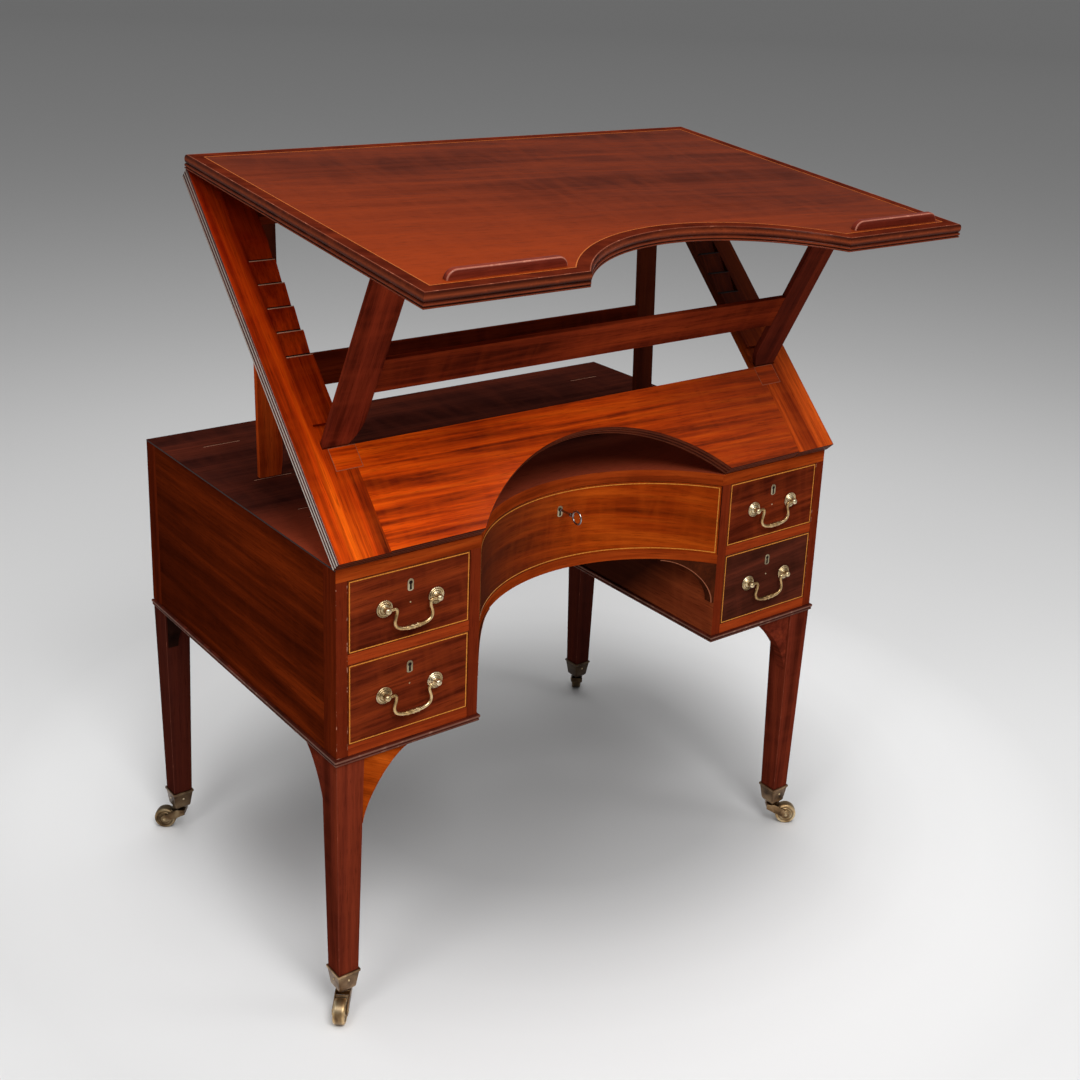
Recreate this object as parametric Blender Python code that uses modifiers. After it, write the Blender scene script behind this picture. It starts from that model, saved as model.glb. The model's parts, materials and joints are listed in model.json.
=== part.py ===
"""Mahogany double-rise architect's desk, shown with both leaves raised.

Metres, +Z up, the front faces -Y. The origin lies on the floor, under the middle of the whole desk.
"""

import math

import bmesh
import bpy
from mathutils import Matrix, Vector

# Air between pieces that touch, and between pieces that slide
GAP = 0.0003
SLIDE_GAP = 0.001

# Case
CASE_WIDTH = 0.950
CASE_DEPTH = 0.630
CASE_HEIGHT = 0.287
TOP_THICK = 0.0195
SIDE_THICK = 0.018
BACK_THICK = 0.012
KNEE_HALF = 0.238
KNEE_SAG = 0.122
UPPER_OPENING = 0.1105
DIVIDER_THICK = 0.016
FLOOR_THICK = 0.0165
CENTRE_OPENING = 0.1205
SOFFIT_THICK = 0.0165
BASE_THICK = 0.011
BASE_OVERHANG = 0.004
SPANDREL_WIDTH = 0.066
SPANDREL_DROP = 0.070
SPANDREL_THICK = 0.014
SPANDREL_TIP = 0.003

# Drawers
DRAWER_BACK_AIR = 0.058
FRONT_THICK = 0.018
BOX_WALL = 0.009
BOX_FLOOR = 0.008
BOX_STEP_DOWN = 0.008
KEYHOLE_DROP = 0.031

# Drawer handles
HANDLE_CENTRES = 0.085
ROSE_RADIUS = 0.0128
ROSE_THICK = 0.003
ROSE_DOME = 0.0045
POST_RADIUS = 0.0036
POST_NECK = 0.00065
BALL_RADIUS = 0.0050
BALL_FLANK = 0.87
BAIL_RADIUS = 0.0024
BAIL_GRIP_RADIUS = 0.0036
BAIL_GRIP_HALF = 0.010
BAIL_HOOK = 0.0097
BAIL_DROP = 0.033

# Key of the centre drawer
KEY_SHANK_RADIUS = 0.0019
KEY_FIT = 0.0004
KEY_SHANK_OUT = 0.034
KEY_SHANK_IN = 0.012
KEY_RING_RADIUS = 0.0105
KEY_WIRE_RADIUS = 0.0016

# Legs, sockets and casters
LEG_LENGTH = 0.3783
LEG_TOP = 0.045
LEG_FOOT = 0.0325
BRACKET_REACH = 0.078
BRACKET_DROP = 0.108
SIDE_BRACKET_REACH = 0.060
SIDE_BRACKET_DROP = 0.090
BRACKET_THICK = 0.018
BRACKET_SETBACK = 0.004
BRACKET_TIP = 0.003
BRACKET_POWER = 1.42
SOCKET_HEIGHT = 0.0392
SOCKET_TAPER = 0.0142
SOCKET_FLOOR = 0.016
SOCKET_WALL = 0.0011
SOCKET_NECK = 0.0065
WHEEL_RADIUS = 0.019
WHEEL_WIDTH = 0.018
WHEEL_ROUND = 0.003
WHEEL_AIR = 0.0006
AXLE_RADIUS = 0.0030
SWIVEL_CLEAR = 0.007
CROWN_RISE = 0.0005
HORN_CHEEK = 0.002
HORN_BACK = 0.0105
HORN_FRONT = 0.004
HORN_DEPTH = 0.009
HORN_EYE = 0.0035
HORN_TURN = math.radians(65)

# Lower rising leaf
LEAF_RISE = math.radians(46.3)
LEAF_LENGTH = 0.638
LEAF_THICK = 0.021
LEAF_OVERHANG = 0.003
STILE_WIDTH = 0.081
PANEL_LENGTH = 0.1655
RAIL_WIDTH = 0.093
CUT_HALF = 0.240
CUT_SAG = 0.1145
NOTCH_DEPTH = 0.007
NOTCH_PITCH = 0.040
NOTCH_LAND = 0.0025
NOTCH_TOP_INSET = 0.165
NOTCH_COUNT = 5
NOTCH_WIDTH = 0.042
FOOT_NOTCH_LENGTH = 0.039

# Drawing board
BOARD_OPEN = math.radians(40.0)
BOARD_LENGTH = 0.646
BOARD_OVERHANG = 0.004
BOARD_THICK = 0.021
BOARD_CUT_HALF = 0.236
BOARD_CUT_SAG = 0.117
BOARD_AXIS_GAP = 0.0006
LEDGE_LENGTH = 0.180
LEDGE_HEIGHT = 0.0135
LEDGE_END = 0.015
LEDGE_THICK = 0.010
LEFT_LEDGE_INSET = 0.049
RIGHT_LEDGE_INSET = 0.028
LEDGE_SETBACK = 0.028

# Props
PROP_THICK = 0.0085
PROP_AXIS_GAP = 0.0005
STRETCHER_THICK = 0.008
REAR_PIVOT_INSET = 0.086
REAR_PROP_FOOT = 0.3715
REAR_LEG_LAP = 0.0035
REAR_LEG_WIDTH = 0.040
REAR_FOOT_WIDTH = 0.036
REAR_FOOT_CURVE = 0.045
REAR_STRETCHER_LOW = 0.1325
REAR_STRETCHER_HEIGHT = 0.053
SLOT_LENGTH = 0.064
SLOT_WIDTH = 0.003
SLOT_DEPTH = 0.002
SLOT_STEP = math.radians(8.0)
SLOT_COUNT = 3
SLOT_BACK_INSET = 0.081
FRONT_PIVOT_INSET = 0.178
FRONT_LEG_WIDTH = 0.0575
FRONT_FOOT_AIR = 0.0015
FRONT_FOOT_SET = 0.00493
FRONT_FOOT_WIDTH = 0.039
FRONT_FOOT_CURVE = 0.052
FRONT_STRETCHER_LOW = 0.0965
FRONT_STRETCHER_HEIGHT = 0.0595

# Heading of each caster, turned from +X
HEADINGS = {"front_left": -130.0, "front_right": -38.0, "back_left": 142.0, "back_right": 52.0}

ARC_STEPS = 32
ROUND_STEPS = 20

MAHOGANY = (0.20, 0.045, 0.018)
DARK_MAHOGANY = (0.09, 0.022, 0.012)
BRIGHT_MAHOGANY = (0.42, 0.085, 0.012)
BRASS = (0.58, 0.43, 0.20)
DARK_BRASS = (0.30, 0.23, 0.12)
STEEL = (0.45, 0.44, 0.42)

for old in list(bpy.data.objects):
    bpy.data.objects.remove(old, do_unlink=True)

scene = bpy.context.scene
desk = bpy.data.collections.new("architects_desk")
cutters = bpy.data.collections.new("cutters")
cutters.hide_render = True
scene.collection.children.link(desk)
scene.collection.children.link(cutters)

# Levels, from the floor up
CROWN_Z = 2 * WHEEL_RADIUS + CROWN_RISE
SOCKET_Z = CROWN_Z + GAP
LEG_Z = SOCKET_Z + SOCKET_FLOOR + GAP
BASE_Z = LEG_Z + LEG_LENGTH + GAP
SIDE_Z = BASE_Z + BASE_THICK + GAP
TOP_Z = SIDE_Z + CASE_HEIGHT
UNDER_TOP_Z = TOP_Z - TOP_THICK
DIVIDER_TOP_Z = UNDER_TOP_Z - UPPER_OPENING
DIVIDER_Z = DIVIDER_TOP_Z - DIVIDER_THICK
FLOOR_TOP_Z = SIDE_Z + FLOOR_THICK
SOFFIT_TOP_Z = UNDER_TOP_Z - CENTRE_OPENING
SOFFIT_Z = SOFFIT_TOP_Z - SOFFIT_THICK

HALF = CASE_WIDTH / 2
INNER_BACK = CASE_DEPTH - BACK_THICK - GAP
LEG_CENTRE = LEG_TOP / 2
DRAWER_DEPTH = INNER_BACK - DRAWER_BACK_AIR
STILE_OUT = HALF + LEAF_OVERHANG
STILE_IN = STILE_OUT - STILE_WIDTH
BOARD_HALF = STILE_OUT + BOARD_OVERHANG
REAR_LEG_OUTER = STILE_IN + REAR_LEG_LAP
REAR_LEG_INNER = REAR_LEG_OUTER - REAR_LEG_WIDTH
FRONT_LEG_OUTER = STILE_IN + NOTCH_WIDTH - FRONT_FOOT_AIR
FRONT_LEG_INNER = FRONT_LEG_OUTER - FRONT_LEG_WIDTH
REAR_PROP_PIVOT = LEAF_LENGTH - REAR_PIVOT_INSET
FRONT_PROP_PIVOT = BOARD_LENGTH - FRONT_PIVOT_INSET
POST_REACH = ROSE_DOME + POST_NECK + BALL_FLANK * BALL_RADIUS
SWIVEL_TRAIL = WHEEL_RADIUS + SWIVEL_CLEAR
WHEEL_EASE = WHEEL_ROUND * (1 - math.sqrt(0.5))
CHEEK_IN = WHEEL_WIDTH / 2 + WHEEL_AIR
CHEEK_OUT = CHEEK_IN + HORN_CHEEK


def empty(name, parent, place, turn=0.0, axis=0):
    """A named axis: an empty at a place in its parent, turned about one of the parent's axes."""
    made = bpy.data.objects.new(name, None)
    made.empty_display_size = 0.03
    made.location = place
    made.rotation_euler[axis] = turn
    made.parent = parent
    desk.objects.link(made)
    return made


def finish(obj, colour, rough, metal):
    """Gives an object its own Principled material."""
    made = bpy.data.materials.new(obj.name + "_finish")
    made.use_nodes = True
    shader = made.node_tree.nodes["Principled BSDF"]
    shader.inputs["Base Color"].default_value = (*colour, 1.0)
    shader.inputs["Roughness"].default_value = rough
    shader.inputs["Metallic"].default_value = metal
    obj.data.materials.append(made)


def piece(name, mesh, parent, place, look, smooth=False):
    """A part of the desk: a mesh under its parent axis."""
    obj = bpy.data.objects.new(name, mesh)
    obj.location = place
    obj.parent = parent
    desk.objects.link(obj)
    colour, rough, metal = look
    finish(obj, colour, rough, metal)
    if smooth:
        mesh.shade_smooth()
        mesh.set_sharp_from_angle(angle=math.radians(35))
    return obj


def helper(name, mesh, parent, place):
    """A shape that only cuts or joins others."""
    obj = bpy.data.objects.new(name, mesh)
    obj.location = place
    obj.parent = parent
    obj.hide_render = True
    obj.display_type = "WIRE"
    cutters.objects.link(obj)
    return obj


def boolean(obj, other, operation):
    made = obj.modifiers.new(operation.lower() + "_" + other.name, "BOOLEAN")
    made.operation = operation
    made.object = other
    made.solver = "EXACT"


def block(*boxes):
    """One mesh of boxes, each given by its low and high corners."""
    mesh = bpy.data.meshes.new("block")
    bm = bmesh.new()
    for low, high in boxes:
        low, high = Vector(low), Vector(high)
        size = high - low
        put = Matrix.Translation((low + high) / 2) @ Matrix.Diagonal((*size, 1))
        bmesh.ops.create_cube(bm, size=1, matrix=put)
    bm.to_mesh(mesh)
    bm.free()
    return mesh


PLANES = {
    "XY": Matrix.Identity(4),
    "XZ": Matrix(((1, 0, 0, 0), (0, 0, -1, 0), (0, 1, 0, 0), (0, 0, 0, 1))),
    "YZ": Matrix(((0, 0, 1, 0), (1, 0, 0, 0), (0, 1, 0, 0), (0, 0, 0, 1))),
}


def slab(outlines, thick, plane="XY"):
    """Flat outlines in a plane, made a solid of this thickness with the plane in its middle."""
    curve = bpy.data.curves.new("outline", "CURVE")
    curve.dimensions = "2D"
    curve.fill_mode = "BOTH"
    curve.extrude = thick / 2
    for outline in outlines:
        spline = curve.splines.new("POLY")
        spline.points.add(len(outline) - 1)
        for point, (a, b) in zip(spline.points, outline):
            point.co = (a, b, 0, 1)
        spline.use_cyclic_u = True
    guide = bpy.data.objects.new("outline", curve)
    scene.collection.objects.link(guide)
    bpy.context.view_layer.update()
    graph = bpy.context.evaluated_depsgraph_get()
    mesh = bpy.data.meshes.new_from_object(guide.evaluated_get(graph))
    bpy.data.objects.remove(guide, do_unlink=True)
    bpy.data.curves.remove(curve)
    bm = bmesh.new()
    bm.from_mesh(mesh)
    bmesh.ops.remove_doubles(bm, verts=bm.verts, dist=1e-6)
    bmesh.ops.recalc_face_normals(bm, faces=bm.faces)
    bmesh.ops.transform(bm, matrix=PLANES[plane], verts=bm.verts)
    bm.to_mesh(mesh)
    bm.free()
    return mesh


def turned(name, profile, steps, parent, place, look, spin=0.0):
    """A piece turned about its own Z axis, from (radius, height) points that run down its outer side."""
    mesh = bpy.data.meshes.new(name)
    bm = bmesh.new()
    turn = Matrix.Rotation(spin, 3, "Z")
    points = [bm.verts.new(turn @ Vector((r, 0, z))) for r, z in profile]
    for first, second in zip(points, points[1:]):
        bm.edges.new((first, second))
    if profile[0][0] > 0:
        bm.edges.new((points[-1], points[0]))
    bm.to_mesh(mesh)
    bm.free()
    obj = piece(name, mesh, parent, place, look)
    made = obj.modifiers.new("turn", "SCREW")
    made.axis = "Z"
    made.steps = steps
    made.render_steps = steps
    made.use_smooth_shade = steps > 4
    made.use_merge_vertices = True
    made.merge_threshold = 0.00001
    return obj


def rod(radius, near, far, segments):
    """A round bar along Y."""
    mesh = bpy.data.meshes.new("rod")
    bm = bmesh.new()
    put = Matrix.Translation((0, (near + far) / 2, 0)) @ Matrix.Rotation(math.pi / 2, 4, "X")
    bmesh.ops.create_cone(
        bm, cap_ends=True, segments=segments, radius1=radius, radius2=radius, depth=far - near, matrix=put
    )
    bm.to_mesh(mesh)
    bm.free()
    return mesh


def arc(half, sag, start=0.0, shift=0.0, steps=ARC_STEPS):
    """Points of a shallow bow over +-start (or its whole chord), which rises by sag over +-half."""
    radius = (half * half + sag * sag) / (2 * sag)
    wide = math.asin((start or half) / radius)
    turns = [wide * (2 * n / steps - 1) for n in range(steps + 1)]
    return [(radius * math.sin(t), shift + sag - radius + radius * math.cos(t)) for t in turns]


def scoop(reach, drop, tip, power, steps=14):
    """The hollow edge of a bracket: a flattened quarter oval from under its far tip to its foot."""
    points = []
    for n in range(steps + 1):
        t = math.pi / 2 * n / steps
        x = reach * (1 - math.sin(t) ** power)
        z = -tip - (drop - tip) * (1 - max(math.cos(t), 0) ** power)
        points.append((x, z))
    return points


def bracket(reach, drop):
    """Outline of a leg's bracket, outward from the leg's face and down from its top, rooted in the leg."""
    inside = -LEG_TOP / 4
    edge = [(inside, 0), (reach, 0), *scoop(reach, drop, BRACKET_TIP, BRACKET_POWER)]
    return edge + [(inside, -drop)]


WOOD = (MAHOGANY, 0.35, 0.0)
DARK = (DARK_MAHOGANY, 0.35, 0.0)
BRIGHT = (BRIGHT_MAHOGANY, 0.30, 0.0)
METAL = (BRASS, 0.35, 1.0)
WORN = (DARK_BRASS, 0.45, 1.0)
IRON = (STEEL, 0.40, 1.0)

# Turning axes of the two leaves, in a frame whose Y starts at the case front
LEAF_AXIS = Vector((0, 0, TOP_Z + GAP))
lean = Matrix.Rotation(LEAF_RISE, 3, "X")
BOARD_TILT = LEAF_RISE - BOARD_OPEN
flat = Matrix.Rotation(BOARD_TILT, 3, "X")
BOARD_AXIS = LEAF_AXIS + lean @ Vector((0, LEAF_LENGTH, LEAF_THICK + BOARD_AXIS_GAP))
BOARD_FRONT = BOARD_AXIS + flat @ Vector((0, -BOARD_LENGTH, BOARD_THICK))


def wheel_back(heading):
    """How far behind its swivel a wheel reaches, for a caster turned to this heading."""
    turn = math.radians(heading)
    edge_radius = WHEEL_RADIUS - WHEEL_EASE
    edge_half = WHEEL_WIDTH / 2 - WHEEL_EASE
    across = edge_radius * abs(math.sin(turn)) + edge_half * abs(math.cos(turn))
    return SWIVEL_TRAIL * math.sin(turn) + across


rearmost = max(wheel_back(HEADINGS["back_left"]), wheel_back(HEADINGS["back_right"]), LEG_CENTRE)
BACK_REACH = CASE_DEPTH - LEG_CENTRE + rearmost
root = empty("desk", None, (0, -(BACK_REACH + BOARD_FRONT.y) / 2, 0))

# Case top, with the bow over the kneehole and the grooves that the rear prop stands at
bow = arc(KNEE_HALF, KNEE_SAG)
top_edge = [(-HALF, 0), *bow, (HALF, 0), (HALF, CASE_DEPTH), (-HALF, CASE_DEPTH)]
case_top = piece("case_top", slab([top_edge], TOP_THICK), root, (0, 0, TOP_Z - TOP_THICK / 2), WOOD)

rear_hang = -(PROP_THICK / 2 + PROP_AXIS_GAP)
REAR_PIVOT = LEAF_AXIS + lean @ Vector((0, REAR_PROP_PIVOT, rear_hang))
rear_foot = Vector((0, REAR_PROP_FOOT, TOP_Z + GAP))
REAR_LENGTH = (rear_foot - REAR_PIVOT).length
REAR_TURN = math.asin((rear_foot.y - REAR_PIVOT.y) / REAR_LENGTH)
slot_places = [CASE_DEPTH - SLOT_BACK_INSET]
for n in range(SLOT_COUNT):
    hang = Matrix.Rotation(LEAF_RISE - n * SLOT_STEP, 3, "X") @ Vector((0, REAR_PROP_PIVOT, rear_hang))
    slot_places.append(hang.y - math.sqrt(REAR_LENGTH**2 - hang.z**2) - PROP_THICK / 2)
slots = []
for side in (-1, 1):
    middle = side * (REAR_LEG_INNER + REAR_LEG_OUTER) / 2
    for place in slot_places:
        low = (middle - SLOT_LENGTH / 2, place - SLOT_WIDTH, TOP_Z - SLOT_DEPTH)
        high = (middle + SLOT_LENGTH / 2, place, TOP_Z + SLOT_DEPTH)
        slots.append((low, high))
boolean(case_top, helper("prop_grooves", block(*slots), root, (0, 0, 0)), "DIFFERENCE")

# Sides, back, dividers and bases of the two pedestals
for side, word in ((-1, "left"), (1, "right")):
    outer = sorted((side * HALF, side * (HALF - SIDE_THICK)))
    inner = sorted((side * KNEE_HALF, side * (KNEE_HALF + SIDE_THICK)))
    between = sorted((side * (HALF - SIDE_THICK - GAP), side * (KNEE_HALF + SIDE_THICK + GAP)))
    wall_top = UNDER_TOP_Z - GAP
    shape = block(((outer[0], 0, SIDE_Z), (outer[1], INNER_BACK, wall_top)))
    piece(word + "_side", shape, root, (0, 0, 0), WOOD)
    shape = block(((inner[0], 0, SIDE_Z), (inner[1], INNER_BACK, wall_top)))
    piece(word + "_inner_side", shape, root, (0, 0, 0), WOOD)
    shape = block(((between[0], 0, DIVIDER_Z), (between[1], INNER_BACK, DIVIDER_TOP_Z)))
    piece(word + "_divider", shape, root, (0, 0, 0), WOOD)
    foot = sorted((side * (HALF + BASE_OVERHANG), side * (KNEE_HALF - BASE_OVERHANG)))
    plate = ((foot[0], -BASE_OVERHANG, BASE_Z), (foot[1], CASE_DEPTH, BASE_Z + BASE_THICK))
    base = piece(word + "_base", block(plate), root, (0, 0, 0), DARK)
    floor_low = BASE_Z + BASE_THICK / 2
    deck = block(((between[0], 0, floor_low), (between[1], INNER_BACK, FLOOR_TOP_Z)))
    boolean(base, helper(word + "_floor", deck, root, (0, 0, 0)), "UNION")

back_edge = [
    (-HALF, SIDE_Z),
    (-KNEE_HALF, SIDE_Z),
    (-KNEE_HALF, SOFFIT_Z),
    (KNEE_HALF, SOFFIT_Z),
    (KNEE_HALF, SIDE_Z),
    (HALF, SIDE_Z),
    (HALF, UNDER_TOP_Z - GAP),
    (-HALF, UNDER_TOP_Z - GAP),
]
piece("back_panel", slab([back_edge], BACK_THICK, "XZ"), root, (0, CASE_DEPTH - BACK_THICK / 2, 0), WOOD)

# The bowed rail and dust board over the kneehole, and its two spandrels
soffit_half = KNEE_HALF - GAP
soffit_edge = [*arc(KNEE_HALF, KNEE_SAG, soffit_half), (soffit_half, INNER_BACK), (-soffit_half, INNER_BACK)]
soffit_mid = (SOFFIT_Z + SOFFIT_TOP_Z) / 2
piece("kneehole_soffit", slab([soffit_edge], SOFFIT_THICK), root, (0, 0, soffit_mid), WOOD)

for side, word in ((-1, "left"), (1, "right")):
    near = soffit_half - SPANDREL_WIDTH
    strip = [p for p in arc(KNEE_HALF, KNEE_SAG, soffit_half, 0.0, 60) if p[0] * side > near]
    behind = [(x, y + SPANDREL_THICK) for x, y in reversed(strip)]
    shape = slab([strip + behind], SPANDREL_DROP)
    top = SOFFIT_Z - GAP
    spandrel = piece(word + "_spandrel", shape, root, (0, 0, top - SPANDREL_DROP / 2), WOOD)
    wide = SPANDREL_WIDTH - SPANDREL_TIP
    curve = scoop(wide, SPANDREL_DROP, SPANDREL_TIP, 1.0)
    under = -2 * SPANDREL_DROP
    hollow = [(soffit_half - SPANDREL_TIP - x, z) for x, z in curve]
    hollow += [(soffit_half - SPANDREL_TIP, under), (near - wide, under), (near - wide, -SPANDREL_TIP)]
    cut = slab([[(side * x, z) for x, z in hollow]], 4 * KNEE_SAG, "XZ")
    boolean(spandrel, helper(word + "_spandrel_hollow", cut, root, (0, 0, top)), "DIFFERENCE")

# Legs with their brackets, brass cup sockets and casters
for side, across in ((-1, "left"), (1, "right")):
    for depth, along in ((-1, "front"), (1, "back")):
        word = along + "_" + across
        x = side * (HALF - LEG_CENTRE)
        y = LEG_CENTRE if depth < 0 else CASE_DEPTH - LEG_CENTRE
        stand = empty(word + "_stand", root, (x, y, 0))

        leg_mesh = bpy.data.meshes.new("leg")
        bm = bmesh.new()
        put = Matrix.Translation((0, 0, LEG_Z + LEG_LENGTH / 2)) @ Matrix.Rotation(math.pi / 4, 4, "Z")
        foot_r = LEG_FOOT / math.sqrt(2)
        top_r = LEG_TOP / math.sqrt(2)
        bmesh.ops.create_cone(
            bm, cap_ends=True, segments=4, radius1=foot_r, radius2=top_r, depth=LEG_LENGTH, matrix=put
        )
        bm.to_mesh(leg_mesh)
        bm.free()
        leg = piece(word + "_leg", leg_mesh, stand, (0, 0, 0), DARK)

        leg_top = LEG_Z + LEG_LENGTH
        if depth < 0:
            outline = [(-side * (LEG_CENTRE + a), b) for a, b in bracket(BRACKET_REACH, BRACKET_DROP)]
            set_y = -LEG_CENTRE + BRACKET_SETBACK + BRACKET_THICK / 2
            shape = slab([outline], BRACKET_THICK, "XZ")
            boolean(leg, helper(word + "_bracket", shape, stand, (0, set_y, leg_top)), "UNION")
        edge = bracket(SIDE_BRACKET_REACH, SIDE_BRACKET_DROP)
        outline = [(-depth * (LEG_CENTRE + a), b) for a, b in edge]
        set_x = side * (LEG_CENTRE - BRACKET_SETBACK - BRACKET_THICK / 2)
        shape = slab([outline], BRACKET_THICK, "YZ")
        boolean(leg, helper(word + "_side_bracket", shape, stand, (set_x, 0, leg_top)), "UNION")

        # Half widths of a square cup become radii of its four corners
        corner = math.sqrt(2)
        sunk = SOCKET_HEIGHT - SOCKET_FLOOR
        pocket = (LEG_FOOT + (LEG_TOP - LEG_FOOT) * sunk / LEG_LENGTH) / 2 + GAP
        lip = pocket + SOCKET_WALL
        cup = [
            (0, SOCKET_Z + SOCKET_FLOOR),
            (pocket * corner, SOCKET_Z + SOCKET_FLOOR),
            (pocket * corner, SOCKET_Z + SOCKET_HEIGHT),
            (lip * corner, SOCKET_Z + SOCKET_HEIGHT),
            (lip * corner, SOCKET_Z + SOCKET_TAPER),
            (SOCKET_NECK * corner, SOCKET_Z),
            (0, SOCKET_Z),
        ]
        turned(word + "_socket", cup, 4, stand, (0, 0, 0), WORN, math.pi / 4)

        # The horn: a crown under the socket, two sloping cheeks and the axle
        swivel = empty(word + "_swivel", stand, (0, 0, 0), math.radians(HEADINGS[word]), 2)
        eye = AXLE_RADIUS + HORN_EYE
        cheek = [(-HORN_BACK, CROWN_Z), (HORN_FRONT, CROWN_Z)]
        for n in range(ROUND_STEPS // 2 + 1):
            t = HORN_TURN - math.pi * n / (ROUND_STEPS // 2)
            cheek.append((SWIVEL_TRAIL + eye * math.cos(t), WHEEL_RADIUS + eye * math.sin(t)))
        cheek.append((-HORN_BACK, CROWN_Z - HORN_DEPTH))
        horn = piece(word + "_horn", slab([cheek], 2 * CHEEK_OUT, "XZ"), swivel, (0, 0, 0), WORN)
        room = block(((HORN_FRONT, -CHEEK_IN, -CROWN_Z), (3 * SWIVEL_TRAIL, CHEEK_IN, 2 * CROWN_Z)))
        boolean(horn, helper(word + "_wheel_room", room, swivel, (0, 0, 0)), "DIFFERENCE")
        pin_half = (CHEEK_IN + CHEEK_OUT) / 2
        pin = rod(AXLE_RADIUS, -pin_half, pin_half, 16)
        boolean(horn, helper(word + "_axle", pin, swivel, (SWIVEL_TRAIL, 0, WHEEL_RADIUS)), "UNION")

        hub = AXLE_RADIUS + GAP
        half_w = WHEEL_WIDTH / 2
        tread = [
            (hub, half_w),
            (WHEEL_RADIUS - WHEEL_ROUND, half_w),
            (WHEEL_RADIUS - WHEEL_EASE, half_w - WHEEL_EASE),
            (WHEEL_RADIUS, half_w - WHEEL_ROUND),
            (WHEEL_RADIUS, -half_w + WHEEL_ROUND),
            (WHEEL_RADIUS - WHEEL_EASE, -half_w + WHEEL_EASE),
            (WHEEL_RADIUS - WHEEL_ROUND, -half_w),
            (hub, -half_w),
        ]
        wheel = turned(word + "_wheel", tread, 24, swivel, (SWIVEL_TRAIL, 0, WHEEL_RADIUS), WORN)
        wheel.rotation_euler[0] = math.pi / 2


def drawer_box(name, axis, height, edge, inside, trim):
    """A drawer in one piece: an outline pulled up, hollowed, with its box lower than its front."""
    body = piece(name, slab([edge], height), axis, (0, 0, 0), WOOD)
    hollow = slab([inside], height)
    boolean(body, helper(name + "_hollow", hollow, axis, (0, 0, BOX_FLOOR)), "DIFFERENCE")
    low = slab([trim], height)
    boolean(body, helper(name + "_trim", low, axis, (0, 0, height - BOX_STEP_DOWN)), "DIFFERENCE")
    return body


def handle(word, drawer_axis):
    """Two turned posts on their roses, and a swan-neck bail that hangs between them."""
    reach = POST_REACH
    flank = BALL_RADIUS * BALL_FLANK
    profile = [
        (0, reach + BALL_RADIUS),
        (BALL_RADIUS / 2, reach + flank),
        (flank, reach + BALL_RADIUS / 2),
        (BALL_RADIUS, reach),
        (flank, reach - BALL_RADIUS / 2),
        (POST_RADIUS, reach - flank),
        (POST_RADIUS, ROSE_DOME),
        (ROSE_RADIUS * 0.62, (ROSE_DOME + ROSE_THICK) / 2),
        (ROSE_RADIUS, ROSE_THICK),
        (ROSE_RADIUS, 0),
        (0, 0),
    ]
    for side, hand in ((-1, "left"), (1, "right")):
        place = (side * HANDLE_CENTRES / 2, -GAP, 0)
        post = turned(word + "_post_" + hand, profile, ROUND_STEPS, drawer_axis, place, METAL)
        post.rotation_euler[0] = math.pi / 2
    bail_axis = empty(word + "_bail_axis", drawer_axis, (0, -GAP - reach, 0))
    end = HANDLE_CENTRES / 2 - BALL_RADIUS - GAP
    low = -BAIL_DROP
    hook = BAIL_HOOK
    half_path = [
        (end, 0, 1.0),
        (end - 0.40 * hook, 0.06 * hook, 1.0),
        (end - 0.75 * hook, 0.02 * hook, 1.0),
        (end - 0.94 * hook, 0.05 * low, 1.0),
        (end - hook, 0.14 * low, 1.0),
        (end - 0.94 * hook, 0.27 * low, 1.0),
        (end - 0.78 * hook, 0.42 * low, 1.0),
        (end - 0.66 * hook, 0.57 * low, 1.0),
        (end - 0.71 * hook, 0.71 * low, 1.05),
        (end - 0.98 * hook, 0.84 * low, 1.1),
        (end - 1.50 * hook, 0.93 * low, 1.15),
        (end - 2.10 * hook, 0.98 * low, 1.2),
        (1.2 * BAIL_GRIP_HALF, low, 1.25),
        (BAIL_GRIP_HALF, low, BAIL_GRIP_RADIUS / BAIL_RADIUS),
    ]
    path = half_path + [(-x, z, r) for x, z, r in reversed(half_path)]
    curve = bpy.data.curves.new(word + "_bail", "CURVE")
    curve.dimensions = "3D"
    curve.bevel_depth = BAIL_RADIUS
    curve.bevel_resolution = 2
    curve.use_fill_caps = True
    spline = curve.splines.new("POLY")
    spline.points.add(len(path) - 1)
    for point, (x, z, r) in zip(spline.points, path):
        point.co = (x, 0, z, 1)
        point.radius = r
    obj = bpy.data.objects.new(word + "_bail", curve)
    obj.parent = bail_axis
    desk.objects.link(obj)
    finish(obj, *METAL)


# Four pedestal drawers with their handles
for side, across in ((-1, "left"), (1, "right")):
    inner_x = KNEE_HALF + SIDE_THICK + SLIDE_GAP
    outer_x = HALF - SIDE_THICK - SLIDE_GAP
    half = (outer_x - inner_x) / 2
    for level, low, high in (("upper", DIVIDER_TOP_Z, UNDER_TOP_Z), ("lower", FLOOR_TOP_Z, DIVIDER_Z)):
        word = across + "_" + level
        height = high - low - GAP - SLIDE_GAP
        middle = low + GAP + height / 2
        axis = empty(word + "_drawer_axis", root, (side * (inner_x + outer_x) / 2, 0, middle))
        back = DRAWER_DEPTH
        edge = [(-half, 0), (half, 0), (half, back), (-half, back)]
        wall = half - BOX_WALL
        rear = back - BOX_WALL
        inside = [(-wall, FRONT_THICK), (wall, FRONT_THICK), (wall, rear), (-wall, rear)]
        wide = half + BOX_WALL
        past = back + BOX_WALL
        trim = [(-wide, FRONT_THICK), (wide, FRONT_THICK), (wide, past), (-wide, past)]
        drawer_box(word + "_drawer", axis, height, edge, inside, trim)
        handle(word, axis)

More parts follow.
